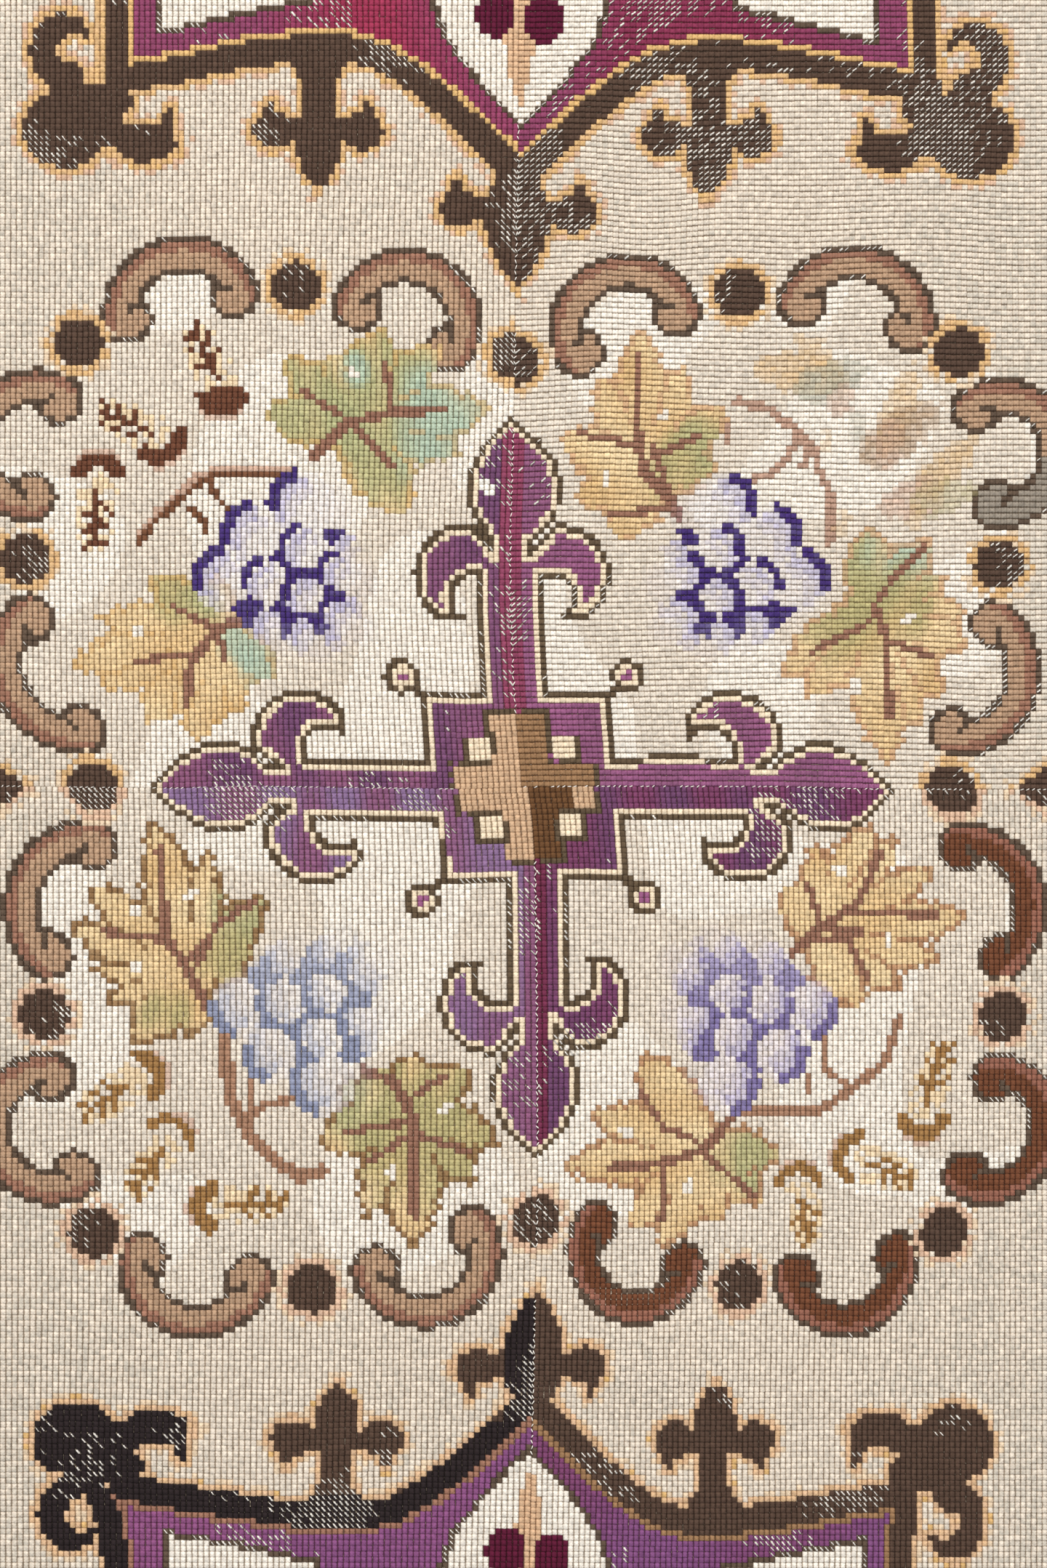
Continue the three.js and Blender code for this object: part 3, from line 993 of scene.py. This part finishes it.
# %% Small damage
SMALL_HOLE = ((4.1, 53.4), (1.7, 1.0), 35)
TORN_NECK = ((7.5, 45), (4.6, 2.6), -20)
TORN_SHARE = 0.6


def lay_damage(panel):
    """A small hole in the north-west purple, and the torn neck of a hook in the south-east."""
    q = panel.s, panel.t
    if panel.name == "nw":
        lay_in(panel, oval(q, *SMALL_HOLE) > 0, "canvas white")
    if panel.name == "se":
        panel.worn[(oval(q, *TORN_NECK) > 0) & (chance(q, 97) < TORN_SHARE)] = 0.8


# %% [markdown]
# ## Filling in the charts
#
# The motifs are laid in from the ground up, so the cross lies over the grapes and the grapes
# over the leaves. Last, each stitch is made a little lighter or darker than its wool, because
# no two lengths of yarn take the dye alike.

# %% Fill in the charts
SHADE = 0.05
for panel in PANELS:
    lay_ground(panel)
    lay_border(panel)
    lay_wreath(panel)
    lay_branches(panel)
    for leaf in LEAVES[panel.name]:
        lay_leaf(panel, **leaf)
    lay_grapes(panel)
    lay_cross(panel)
    lay_damage(panel)
    shade = 1 + SHADE * (chance((panel.s, panel.t), 2)[..., None] - 0.5) * 2
    panel.wool = np.clip(panel.wool * shade, 0, 1)
    print(panel.name, "charted, worn share", round(float((panel.worn > 0.3).mean()), 3))

# %% [markdown]
# ## One arm of a stitch
#
# A cross stitch is two short diagonals of soft wool. Each comes up through one hole of the
# canvas and goes down through the opposite one, so it is thin at both ends and plump between,
# and the two together fill their square. The squares press together along a rib and part
# between ribs, so an arm is lower at the side that faces the furrow.
#
# With over fifty thousand stitches an arm may have only eight triangles, and smooth shading
# rounds them. It is an open shell: what would be its underside lies in the canvas. Two kinds
# are needed, one for each way an arm can cross the furrows. A flat map with a strip for each
# long side is kept on the arm from the start, so every arm can be baked later.

# %% Arms of wool
SHOULDER = 0.27
LOW_SIDE = 0.12
HIGH_SIDE = 0.5
END = 0.05
# Share of its square of the flat map that an arm leaves free at each end
MAP_MARGIN = 0.06


def make_arm(name, first_side, second_side):
    """A strip from x -0.5 to 0.5, as wide as y -0.5 to 0.5, with its crest at z 1.

    first_side is the height of its left edge at the first shoulder and its right edge at the
    second. second_side is the height of the other two corners."""
    points = [(-0.5, 0, END)]
    for x, left, right in ((-SHOULDER, first_side, second_side), (SHOULDER, second_side, first_side)):
        points += [(x, 0.5, left), (x, 0, 1.0), (x, -0.5, right)]
    points.append((0.5, 0, END))
    faces, rows, edge = [], [], []
    for row, (a, b) in enumerate(((0, 1), (1, 2))):
        rings = [(0, 0), (1 + a, 1 + b), (4 + a, 4 + b), (7, 7)]
        for (a0, b0), (a1, b1) in zip(rings, rings[1:]):
            corners = [a0, b0, b1, a1]
            levels = [1, -1, -1, 1]
            keep = [k for k, c in enumerate(corners) if c not in corners[:k]]
            faces.append([corners[k] for k in keep][::-1])
            edge.append([levels[k] if corners[k] not in (0, 7) else 0 for k in keep][::-1])
            rows.append(row)
    mesh = bpy.data.meshes.new(name)
    mesh.from_pydata(points, [], faces)
    flat_map = mesh.attributes.new("arm_map", "FLOAT2", "CORNER")
    values = []
    for face, levels, row in zip(faces, edge, rows):
        for vertex, level in zip(face, levels):
            across = MAP_MARGIN + (1 - 2 * MAP_MARGIN) * (points[vertex][0] + 0.5)
            values += [across, (row + 0.5 + 0.42 * level) / 2]
    flat_map.data.foreach_set("vector", values)
    # rise is 0 at the ends and low sides of an arm and 1 at its crest; the wool material paints shade and
    # dirt by it
    rise = [np.interp(p[2], [LOW_SIDE, HIGH_SIDE, 1], [0, 0.5, 1]) for p in points]
    for key, numbers in (("rise", rise), ("along", [p[0] for p in points])):
        mesh.attributes.new(key, "FLOAT", "POINT").data.foreach_set("value", numbers)
    arm = add_object(name, mesh)
    arm.hide_render = True
    return arm


ARMS = {
    1: make_arm("arm one way", LOW_SIDE, HIGH_SIDE),
    -1: make_arm("arm other way", HIGH_SIDE, LOW_SIDE),
}
for arm in ARMS.values():
    print(arm.name, "faces:", len(arm.data.polygons))

# %% [markdown]
# ## A node tree that works the stitches
#
# Geometry Nodes put one arm on every point of a cloud. Each point carries what its stitch
# needs: the way it lies, its size, its wool and its square on the flat map. The tree adds a
# small random turn, because no hand lays two stitches quite alike, then makes the copies real
# and writes the flat map. The same tree works all the panels and the seams.

# %% Node tree


def add_node(tree, kind, inputs=(), **settings):
    node = tree.nodes.new(kind)
    for key, value in settings.items():
        setattr(node, key, value)
    for key, value in dict(inputs).items():
        if isinstance(value, bpy.types.NodeSocket):
            tree.links.new(value, node.inputs[key])
        else:
            node.inputs[key].default_value = value
    return node


def calculate(tree, operation, *values):
    return add_node(tree, "ShaderNodeMath", dict(enumerate(values)), operation=operation).outputs[0]


def named(tree, kind, attribute):
    node = add_node(tree, "GeometryNodeInputNamedAttribute", {"Name": attribute}, data_type=kind)
    return node.outputs["Attribute"]


ASKED = {"Points": "Geometry", "Arm": "Object", "Wobble": "Float", "Map Square": "Float",
         "Seed": "Int", "Wool": "Material"}


def stitch_tree():
    tree = bpy.data.node_groups.new("work stitches", "GeometryNodeTree")
    for asked, kind in ASKED.items():
        tree.interface.new_socket(asked, in_out="INPUT", socket_type="NodeSocket" + kind)
    tree.interface.new_socket("Stitches", in_out="OUTPUT", socket_type="NodeSocketGeometry")
    given = add_node(tree, "NodeGroupInput").outputs
    arm = add_node(tree, "GeometryNodeObjectInfo", {"Object": given["Arm"]}).outputs["Geometry"]
    low = calculate(tree, "MULTIPLY", given["Wobble"], -1.0)
    loose = add_node(tree, "FunctionNodeRandomValue", {2: low, 3: given["Wobble"], "Seed": given["Seed"]})
    turn = calculate(tree, "ADD", named(tree, "FLOAT", "turn"), loose.outputs[1])
    spin = add_node(tree, "ShaderNodeCombineXYZ", {"Z": turn}).outputs[0]
    spin = add_node(tree, "FunctionNodeEulerToRotation", {"Euler": spin}).outputs[0]
    copies = add_node(tree, "GeometryNodeInstanceOnPoints", {
        "Points": given["Points"],
        "Instance": arm,
        "Rotation": spin,
        "Scale": named(tree, "FLOAT_VECTOR", "size"),
    })
    real = add_node(tree, "GeometryNodeRealizeInstances", {"Geometry": copies.outputs[0]}).outputs[0]
    in_square = add_node(tree, "ShaderNodeVectorMath", {
        0: named(tree, "FLOAT_VECTOR", "arm_map"),
        "Scale": given["Map Square"],
    }, operation="SCALE").outputs[0]
    place = add_node(tree, "ShaderNodeVectorMath", {
        0: in_square,
        1: named(tree, "FLOAT_VECTOR", "square"),
    }, operation="ADD").outputs[0]
    real = add_node(tree, "GeometryNodeStoreNamedAttribute", {
        "Geometry": real,
        "Name": "OFBake",
        "Value": place,
    }, data_type="FLOAT2", domain="CORNER").outputs[0]
    for spent in ("turn", "size", "square", "arm_map"):
        real = add_node(tree, "GeometryNodeRemoveAttribute", {"Geometry": real, "Name": spent}).outputs[0]
    real = add_node(tree, "GeometryNodeSetShadeSmooth", {0: real}).outputs[0]
    real = add_node(tree, "GeometryNodeSetMaterial", {
        "Geometry": real,
        "Material": given["Wool"],
    }).outputs[0]
    done = add_node(tree, "NodeGroupOutput")
    tree.links.new(real, done.inputs["Stitches"])
    return tree


STITCH_TREE = stitch_tree()
print("nodes in the stitch tree:", len(STITCH_TREE.nodes))

# %% [markdown]
# ## From points to stitches
#
# The points are a mesh with no faces. NumPy fills its attributes in one go, which takes a
# moment where a loop over every stitch would take minutes. The evaluated result is then kept
# as a plain mesh, so that nothing is worked twice.

# %% Working a set of stitches
WOBBLE = 0.08


def work_stitches(name, arm, wool_material, place, turn, size, wool, seed):
    """Places an arm at each row of place, in mm, and returns it all as one plain mesh object."""
    count = len(place)
    mesh = bpy.data.meshes.new(name + " points")
    mesh.vertices.add(count)
    mesh.vertices.foreach_set("co", (np.asarray(place, float) * MM).ravel())
    side = math.ceil(math.sqrt(count))
    number = np.arange(count)
    square = np.stack([number % side, number // side, 0 * number], 1) / side
    mesh.attributes.new("turn", "FLOAT", "POINT").data.foreach_set("value", turn)
    for key, values in (("size", np.asarray(size) * MM), ("square", square)):
        mesh.attributes.new(key, "FLOAT_VECTOR", "POINT").data.foreach_set("vector", values.ravel())
    rgba = np.concatenate([wool, np.ones((count, 1))], 1)
    mesh.attributes.new("wool", "FLOAT_COLOR", "POINT").data.foreach_set("color", rgba.ravel())
    points = add_object(name + " points", mesh)
    worked = points.modifiers.new("stitches", "NODES")
    worked.node_group = STITCH_TREE
    values = {"Arm": arm, "Wobble": WOBBLE, "Map Square": 1.0 / side, "Seed": seed, "Wool": wool_material}
    for item in STITCH_TREE.interface.items_tree:
        if item.in_out == "INPUT" and item.name in values:
            worked[item.identifier] = values[item.name]
    evaluated = points.evaluated_get(bpy.context.evaluated_depsgraph_get())
    plain = bpy.data.meshes.new_from_object(evaluated)
    plain.name = name
    piece = add_object(name, plain)
    bpy.data.objects.remove(points)
    return piece


# %% [markdown]
# ## Wool and canvas
#
# Wool yarn is matt, and its colour comes from the chart through an attribute. Low on each arm,
# in the holes and furrows, it is painted browner and darker: partly painted shade, where little
# light reaches, and partly the old dirt that has settled there. Fine noise breaks it up as loose
# fibres do. The bare canvas is a plain weave, which two crossed waves draw well enough.

# %% Materials
# Painted shade and dirt: low on each arm the wool is multiplied towards this brown, and at the crest it
# keeps its colour
FURROW_SHADE_AND_DIRT = (0.36, 0.3, 0.24)
LIT_AND_CLEAN = (1, 1, 1)
CANVAS_DARK = linear("75685A")
CANVAS_LIGHT = linear("B5A894")
# Noise and wave scales: fibres of the yarn, soil on it, and the threads of the canvas
FIBRES = 2600.0
SOIL = 420.0
THREADS = 89.1
PLY_TWIST = 34.0


def new_material(name):
    material = bpy.data.materials.new(name)
    material.use_nodes = True
    material.node_tree.nodes.clear()
    return material


def blend(tree, share, first, second):
    colours = {"Factor": share, "A": (*first, 1), "B": (*second, 1)}
    return add_node(tree, "ShaderNodeMix", colours, data_type="RGBA").outputs["Result"]


def rescale(tree, value, low, high, new_low, new_high, **settings):
    """A value from low to high, rescaled to run from new_low to new_high."""
    return add_node(tree, "ShaderNodeMapRange", {
        "Value": value, "From Min": low, "From Max": high, "To Min": new_low, "To Max": new_high,
    }, **settings).outputs[0]


def matt_surface(tree, colour, height, depth, strength, roughness, shine):
    bump = {"Height": height, "Distance": depth, "Strength": strength}
    bump = add_node(tree, "ShaderNodeBump", bump).outputs[0]
    surface = add_node(tree, "ShaderNodeBsdfPrincipled", {
        "Base Color": colour, "Roughness": roughness, "Normal": bump, "Specular IOR Level": shine,
    })
    out = add_node(tree, "ShaderNodeOutputMaterial")
    tree.links.new(surface.outputs[0], out.inputs[0])


def wool_yarn():
    material = new_material("wool yarn")
    tree = material.node_tree
    wool = add_node(tree, "ShaderNodeAttribute", attribute_name="wool").outputs["Color"]
    rise = add_node(tree, "ShaderNodeAttribute", attribute_name="rise").outputs["Fac"]
    along = add_node(tree, "ShaderNodeAttribute", attribute_name="along").outputs["Fac"]
    where = add_node(tree, "ShaderNodeTexCoord").outputs["Object"]
    fibres = add_node(tree, "ShaderNodeTexNoise", {"Vector": where, "Scale": FIBRES, "Detail": 1.0})
    soil = add_node(tree, "ShaderNodeTexNoise", {"Vector": where, "Scale": SOIL, "Detail": 0.0})
    # Painted shade and dirt, darkest where rise is low: at the holes and on the furrow sides of each arm
    lit_and_clean_share = rescale(tree, rise, 0.0, 0.85, 0.0, 1.0, interpolation_type="SMOOTHSTEP")
    shade_and_dirt = blend(tree, lit_and_clean_share, FURROW_SHADE_AND_DIRT, LIT_AND_CLEAN)
    mottle = calculate(tree, "ADD", fibres.outputs[0], soil.outputs[0])
    fuzz = rescale(tree, mottle, 0.6, 1.4, 0.76, 1.2)
    colour = add_node(tree, "ShaderNodeVectorMath", {0: wool, "Scale": fuzz}, operation="SCALE")
    colour = add_node(tree, "ShaderNodeVectorMath", {0: colour.outputs[0], 1: shade_and_dirt}, operation="MULTIPLY")
    colour = colour.outputs[0]
    ply = calculate(tree, "SINE", calculate(tree, "MULTIPLY", along, PLY_TWIST))
    ply = calculate(tree, "MULTIPLY_ADD", ply, 0.25, fibres.outputs[0])
    matt_surface(tree, colour, ply, depth=0.00025, strength=0.6, roughness=0.9, shine=0.2)
    return material


def canvas_cloth():
    material = new_material("canvas cloth")
    tree = material.node_tree
    where = add_node(tree, "ShaderNodeTexCoord").outputs["Object"]
    weave = []
    for direction in ("X", "Y"):
        weave.append(add_node(tree, "ShaderNodeTexWave", {
            "Vector": where, "Scale": THREADS, "Distortion": 0.6, "Detail": 1.0,
        }, bands_direction=direction).outputs["Fac"])
    both = calculate(tree, "MULTIPLY", *weave)
    colour = blend(tree, both, CANVAS_DARK, CANVAS_LIGHT)
    matt_surface(tree, colour, both, depth=0.0004, strength=0.8, roughness=0.95, shine=0.1)
    return material


WOOL_YARN = wool_yarn()
CANVAS_CLOTH = canvas_cloth()
print("materials:", WOOL_YARN.name, "and", CANVAS_CLOTH.name)

# %% [markdown]
# ## Canvas
#
# Under the stitches each panel has its own canvas. It is the cloth itself, so it takes the
# place of the panel in the frame. The same lattice with fewer holes gives its outline, and it
# is closed all round: a top, an underside and thin walls.

# %% Canvas sheets
CANVAS_ACROSS = 16
CANVAS_ALONG = 24
HALF_SEAM_GAP = 0.25


def make_canvas(panel):
    x, y = lattice(panel, CANVAS_ACROSS, CANVAS_ALONG)
    step = HALF_SEAM_GAP * (1 if panel.east else -1)
    x[:, 0 if panel.east else -1] += step
    y[0 if panel.north else -1, :] += HALF_SEAM_GAP * (1 if panel.north else -1)
    lift = lift_at(x, y)
    top = np.stack([x, y, lift + CANVAS_THICKNESS], -1).reshape(-1, 3)
    bottom = np.stack([x, y, lift], -1).reshape(-1, 3)
    rows, columns = x.shape
    corner = np.arange(rows * columns).reshape(rows, columns)
    a, b, c, d = corner[:-1, :-1], corner[:-1, 1:], corner[1:, 1:], corner[1:, :-1]
    upper = np.stack([a, b, c, d], -1).reshape(-1, 4)
    ring = np.concatenate([corner[0, :-1], corner[:-1, -1], corner[-1, :0:-1], corner[:0:-1, 0]])
    after = np.roll(ring, -1)
    below = rows * columns
    walls = np.stack([ring + below, after + below, after, ring], -1)
    faces = np.concatenate([upper, upper[:, ::-1] + below, walls])
    mesh = bpy.data.meshes.new("canvas " + panel.name)
    mesh.from_pydata((np.concatenate([top, bottom]) * MM).tolist(), [], faces.tolist())
    mesh.materials.append(CANVAS_CLOTH)
    canvas = add_object("canvas_" + panel.name, mesh)
    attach(canvas, "root")
    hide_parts("panel_" + panel.name)
    return canvas


for panel in PANELS:
    panel.canvas = make_canvas(panel)
    print(panel.canvas.name, "faces:", len(panel.canvas.data.polygons))

# %% [markdown]
# ## Working the panels
#
# Now every hole of the lattice gets its cross. The under arm goes one way and the over arm the
# other, and the over arm is what the eye sees. Pulling the wool tight draws the stitches
# together along a rib of the canvas and leaves a dark furrow between ribs, so the arms reach
# past the hole along the rib and stop short of it across.
#
# Where the wool has worn away, the over arm is gone and a bare thread of canvas shows through
# as a pale dash that lies the same way.

# %% Working the panels
REACH_ALONG_RIB = 1.05
REACH_ACROSS_RIB = 0.98
ARM_WIDTH = 2.68
OVER_HEIGHT = 1.95
UNDER_HEIGHT = 1.6
ARM_FOOT = 1.55
UNDER_SHADE = 0.97
# A stitch worn more than this is bare: its pale dash has a width, a height and a rise of its
# own, its length and shade vary between two shares, and the under arm spreads
BARE_FROM = 0.35
DASH = 1.2
DASH_HEIGHT = 1.9
DASH_RISE = 0.6
DASH_LENGTH = 0.6, 0.95
DASH_SHADE = 0.62, 1.0
UNDER_SPREAD = 1.25


def work_panel(panel):
    rng = np.random.default_rng(SEED + 50 + PANELS.index(panel))
    wide = np.diff(0.5 * (panel.x[1:] + panel.x[:-1]), axis=1).ravel()
    long = np.diff(0.5 * (panel.y[:, 1:] + panel.y[:, :-1]), axis=0).ravel()
    x, y = panel.middle[0].ravel(), panel.middle[1].ravel()
    count = len(x)
    reach_x, reach_y = REACH_ACROSS_RIB, REACH_ALONG_RIB
    if panel.ribs == "across":
        reach_x, reach_y = reach_y, reach_x
    span_x, span_y = wide * reach_x, long * reach_y
    reach = np.hypot(span_x, span_y)
    slope = np.arctan2(span_y, span_x)
    wool = panel.wool.reshape(-1, 3)
    bare = panel.worn.ravel() > BARE_FROM
    plump = np.clip(rng.normal(1, 0.07, count), 0.84, 1.15)
    sway = rng.normal(0, 0.08, (count, 2))
    place = np.stack([x + sway[:, 0], y + sway[:, 1], lift_at(x, y) + ARM_FOOT], 1)
    tint = 1 + rng.normal(0, 0.035, (count, 1))
    thread = WOOL["canvas white"] * rng.uniform(*DASH_SHADE, (count, 1))
    over_size = np.stack([
        reach * np.where(bare, rng.uniform(*DASH_LENGTH, count), 1),
        np.where(bare, DASH * rng.uniform(0.7, 1.3, count), ARM_WIDTH * plump),
        np.where(bare, DASH_HEIGHT, OVER_HEIGHT * plump),
    ], 1)
    under_size = np.stack([
        reach,
        ARM_WIDTH * np.where(bare, UNDER_SPREAD, plump),
        UNDER_HEIGHT * plump,
    ], 1)
    over_wool = np.where(bare[:, None], thread, wool * tint)
    kind = panel.slant if panel.ribs == "along" else -panel.slant
    over_place = place + np.stack([0 * x, 0 * x, DASH_RISE * bare], 1)
    under_wool = wool * tint * UNDER_SHADE
    panel.over = work_stitches("over_arms_" + panel.name, ARMS[kind], WOOL_YARN, over_place,
                               panel.slant * slope, over_size, np.clip(over_wool, 0, 1),
                               seed=1 + PANELS.index(panel))
    panel.under = work_stitches("under_arms_" + panel.name, ARMS[-kind], WOOL_YARN, place,
                                -panel.slant * slope, under_size, np.clip(under_wool, 0, 1),
                                seed=11 + PANELS.index(panel))
    for piece in (panel.under, panel.over):
        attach(piece, "root")


for panel in PANELS:
    work_panel(panel)
    faces = [*panel.over.data.polygons, *panel.under.data.polygons]
    print(panel.name, "triangles:", sum(len(face.vertices) - 2 for face in faces))

# %% [markdown]
# ## Sewing the panels together
#
# The panels are joined edge to edge with small slanting stitches, one for each row. In the
# pale ground they sink out of sight. Across the purple and the dark wool the sewing thread
# shows as a row of white dashes, which lean one way and then the other along the long seam.

# %% Seams
# Length, width and height of a stitch that shows, by seam, and of one that sinks in
LONG_SEAM_STITCH = (3.6, 0.75, 1.1)
CROSS_SEAM_STITCH = (3.0, 0.7, 1.1)
SUNK_STITCH = (2.2, 0.5, 0.7)
# How high each kind lies, how dark the sunk one is, and how the stitches lean, in degrees
SHOWN_HEIGHT = 2.1
SUNK_HEIGHT = 1.5
SUNK_SHADE = 0.55
LONG_SEAM_LEAN = 58
CROSS_SEAM_LEAN = 18


def seam_stitches():
    rng = np.random.default_rng(SEED + 90)
    place, turn, size, wool = [], [], [], []

    def sew(x, y, aside, lean, shows, shown_size, own_wool):
        place.append((x + aside, y, lift_at(x, y) + (SHOWN_HEIGHT if shows else SUNK_HEIGHT)))
        turn.append(math.radians(lean))
        size.append(shown_size if shows else SUNK_STITCH)
        wool.append(WOOL["canvas white"] if shows else own_wool * SUNK_SHADE)

    for panel in (PANELS[0], PANELS[2]):
        y = 0.5 * (panel.y[1:, -1] + panel.y[:-1, -1])
        x = long_seam(panel, y)
        for k, own in enumerate(panel.wool[:, -1]):
            side = (-1) ** k
            lean = LONG_SEAM_LEAN * side + rng.normal(0, 8)
            sew(x[k], y[k], 0.2 * side, lean, own.mean() < 0.35, LONG_SEAM_STITCH, own)
    for panel in (PANELS[0], PANELS[1]):
        x = 0.5 * (panel.x[0, 1:] + panel.x[0, :-1])
        y = cross_seam(x)
        for k, own in enumerate(panel.wool[0]):
            shows = own.mean() < 0.3 and rng.random() < 0.8
            lean = CROSS_SEAM_LEAN + rng.normal(0, 12)
            sew(x[k], y[k], 0, lean, shows, CROSS_SEAM_STITCH, own)
    return work_stitches("seam_stitches", ARMS[1], WOOL_YARN, np.array(place), np.array(turn),
                         np.array(size), np.array(wool), seed=31)


seams = seam_stitches()
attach(seams, "root")
print("faces in the seam stitches:", len(seams.data.polygons))

# %% [markdown]
# ## Taking out the copied arms
#
# The canvas sheets are the cloth, and the stitches go with them. The arms that were copied are
# not part of the rug, so they are taken out.

for arm in ARMS.values():
    bpy.data.objects.remove(arm)

# %% [markdown]
# ## Floor, camera and light
#
# The photograph looks straight down at the rug and shows nothing else. The camera stands so
# that the picture is 655 mm wide. Soft daylight comes in from the far left, low enough for the
# ribs to throw small shadows, and a faint fill keeps the furrows from going black.

# %% Floor
FLOOR_SIZE = 6
FLOOR_COLOUR = (0.5, 0.49, 0.47)
bpy.ops.mesh.primitive_plane_add(size=FLOOR_SIZE)
floor = bpy.context.object
floor.name = "floor"
floor_paint = bpy.data.materials.new("pale floor")
floor_paint.use_nodes = True
paint = floor_paint.node_tree.nodes["Principled BSDF"].inputs
paint["Base Color"].default_value = (*FLOOR_COLOUR, 1)
paint["Roughness"].default_value = 1.0
floor.data.materials.append(floor_paint)
print("floor laid, in m:", FLOOR_SIZE)

# %% Camera
SHOWN_LENGTH = 0.98144
LENS = 85
SENSOR = 36
distance = SHOWN_LENGTH * LENS / SENSOR
camera_data = bpy.data.cameras.new("camera")
camera_data.lens = LENS
camera_data.sensor_width = SENSOR
camera = add_object("camera", camera_data)
camera.location = (0, 0, CLOTH_THICKNESS * MM + distance)
bpy.context.scene.camera = camera
print("camera above the cloth, in m:", round(distance, 3))

# %% Light
DAYLIGHT = dict(place=(-1.3, 3.7, 3.9), size=2.2, power=314, colour=(1.0, 0.985, 0.96))
FILL = dict(place=(2.4, -0.8, 4.6), size=4.0, power=136, colour=(0.97, 0.98, 1.0))
ROOM_COLOUR = (0.95, 0.97, 1.0)
ROOM_STRENGTH = 0.42


def window(name, place, size, power, colour):
    """A square of soft light that faces the middle of the rug."""
    data = bpy.data.lights.new(name, "AREA")
    data.size = size
    data.energy = power
    data.color = colour
    light = add_object(name, data)
    light.location = place
    aim = -light.location
    light.rotation_euler = aim.to_track_quat("-Z", "Y").to_euler()


window("daylight", **DAYLIGHT)
window("fill", **FILL)
world = bpy.data.worlds.new("room")
world.use_nodes = True
room = world.node_tree.nodes["Background"].inputs
room["Color"].default_value = (*ROOM_COLOUR, 1)
room["Strength"].default_value = ROOM_STRENGTH
bpy.context.scene.world = world
bpy.context.scene.view_settings.view_transform = "Standard"
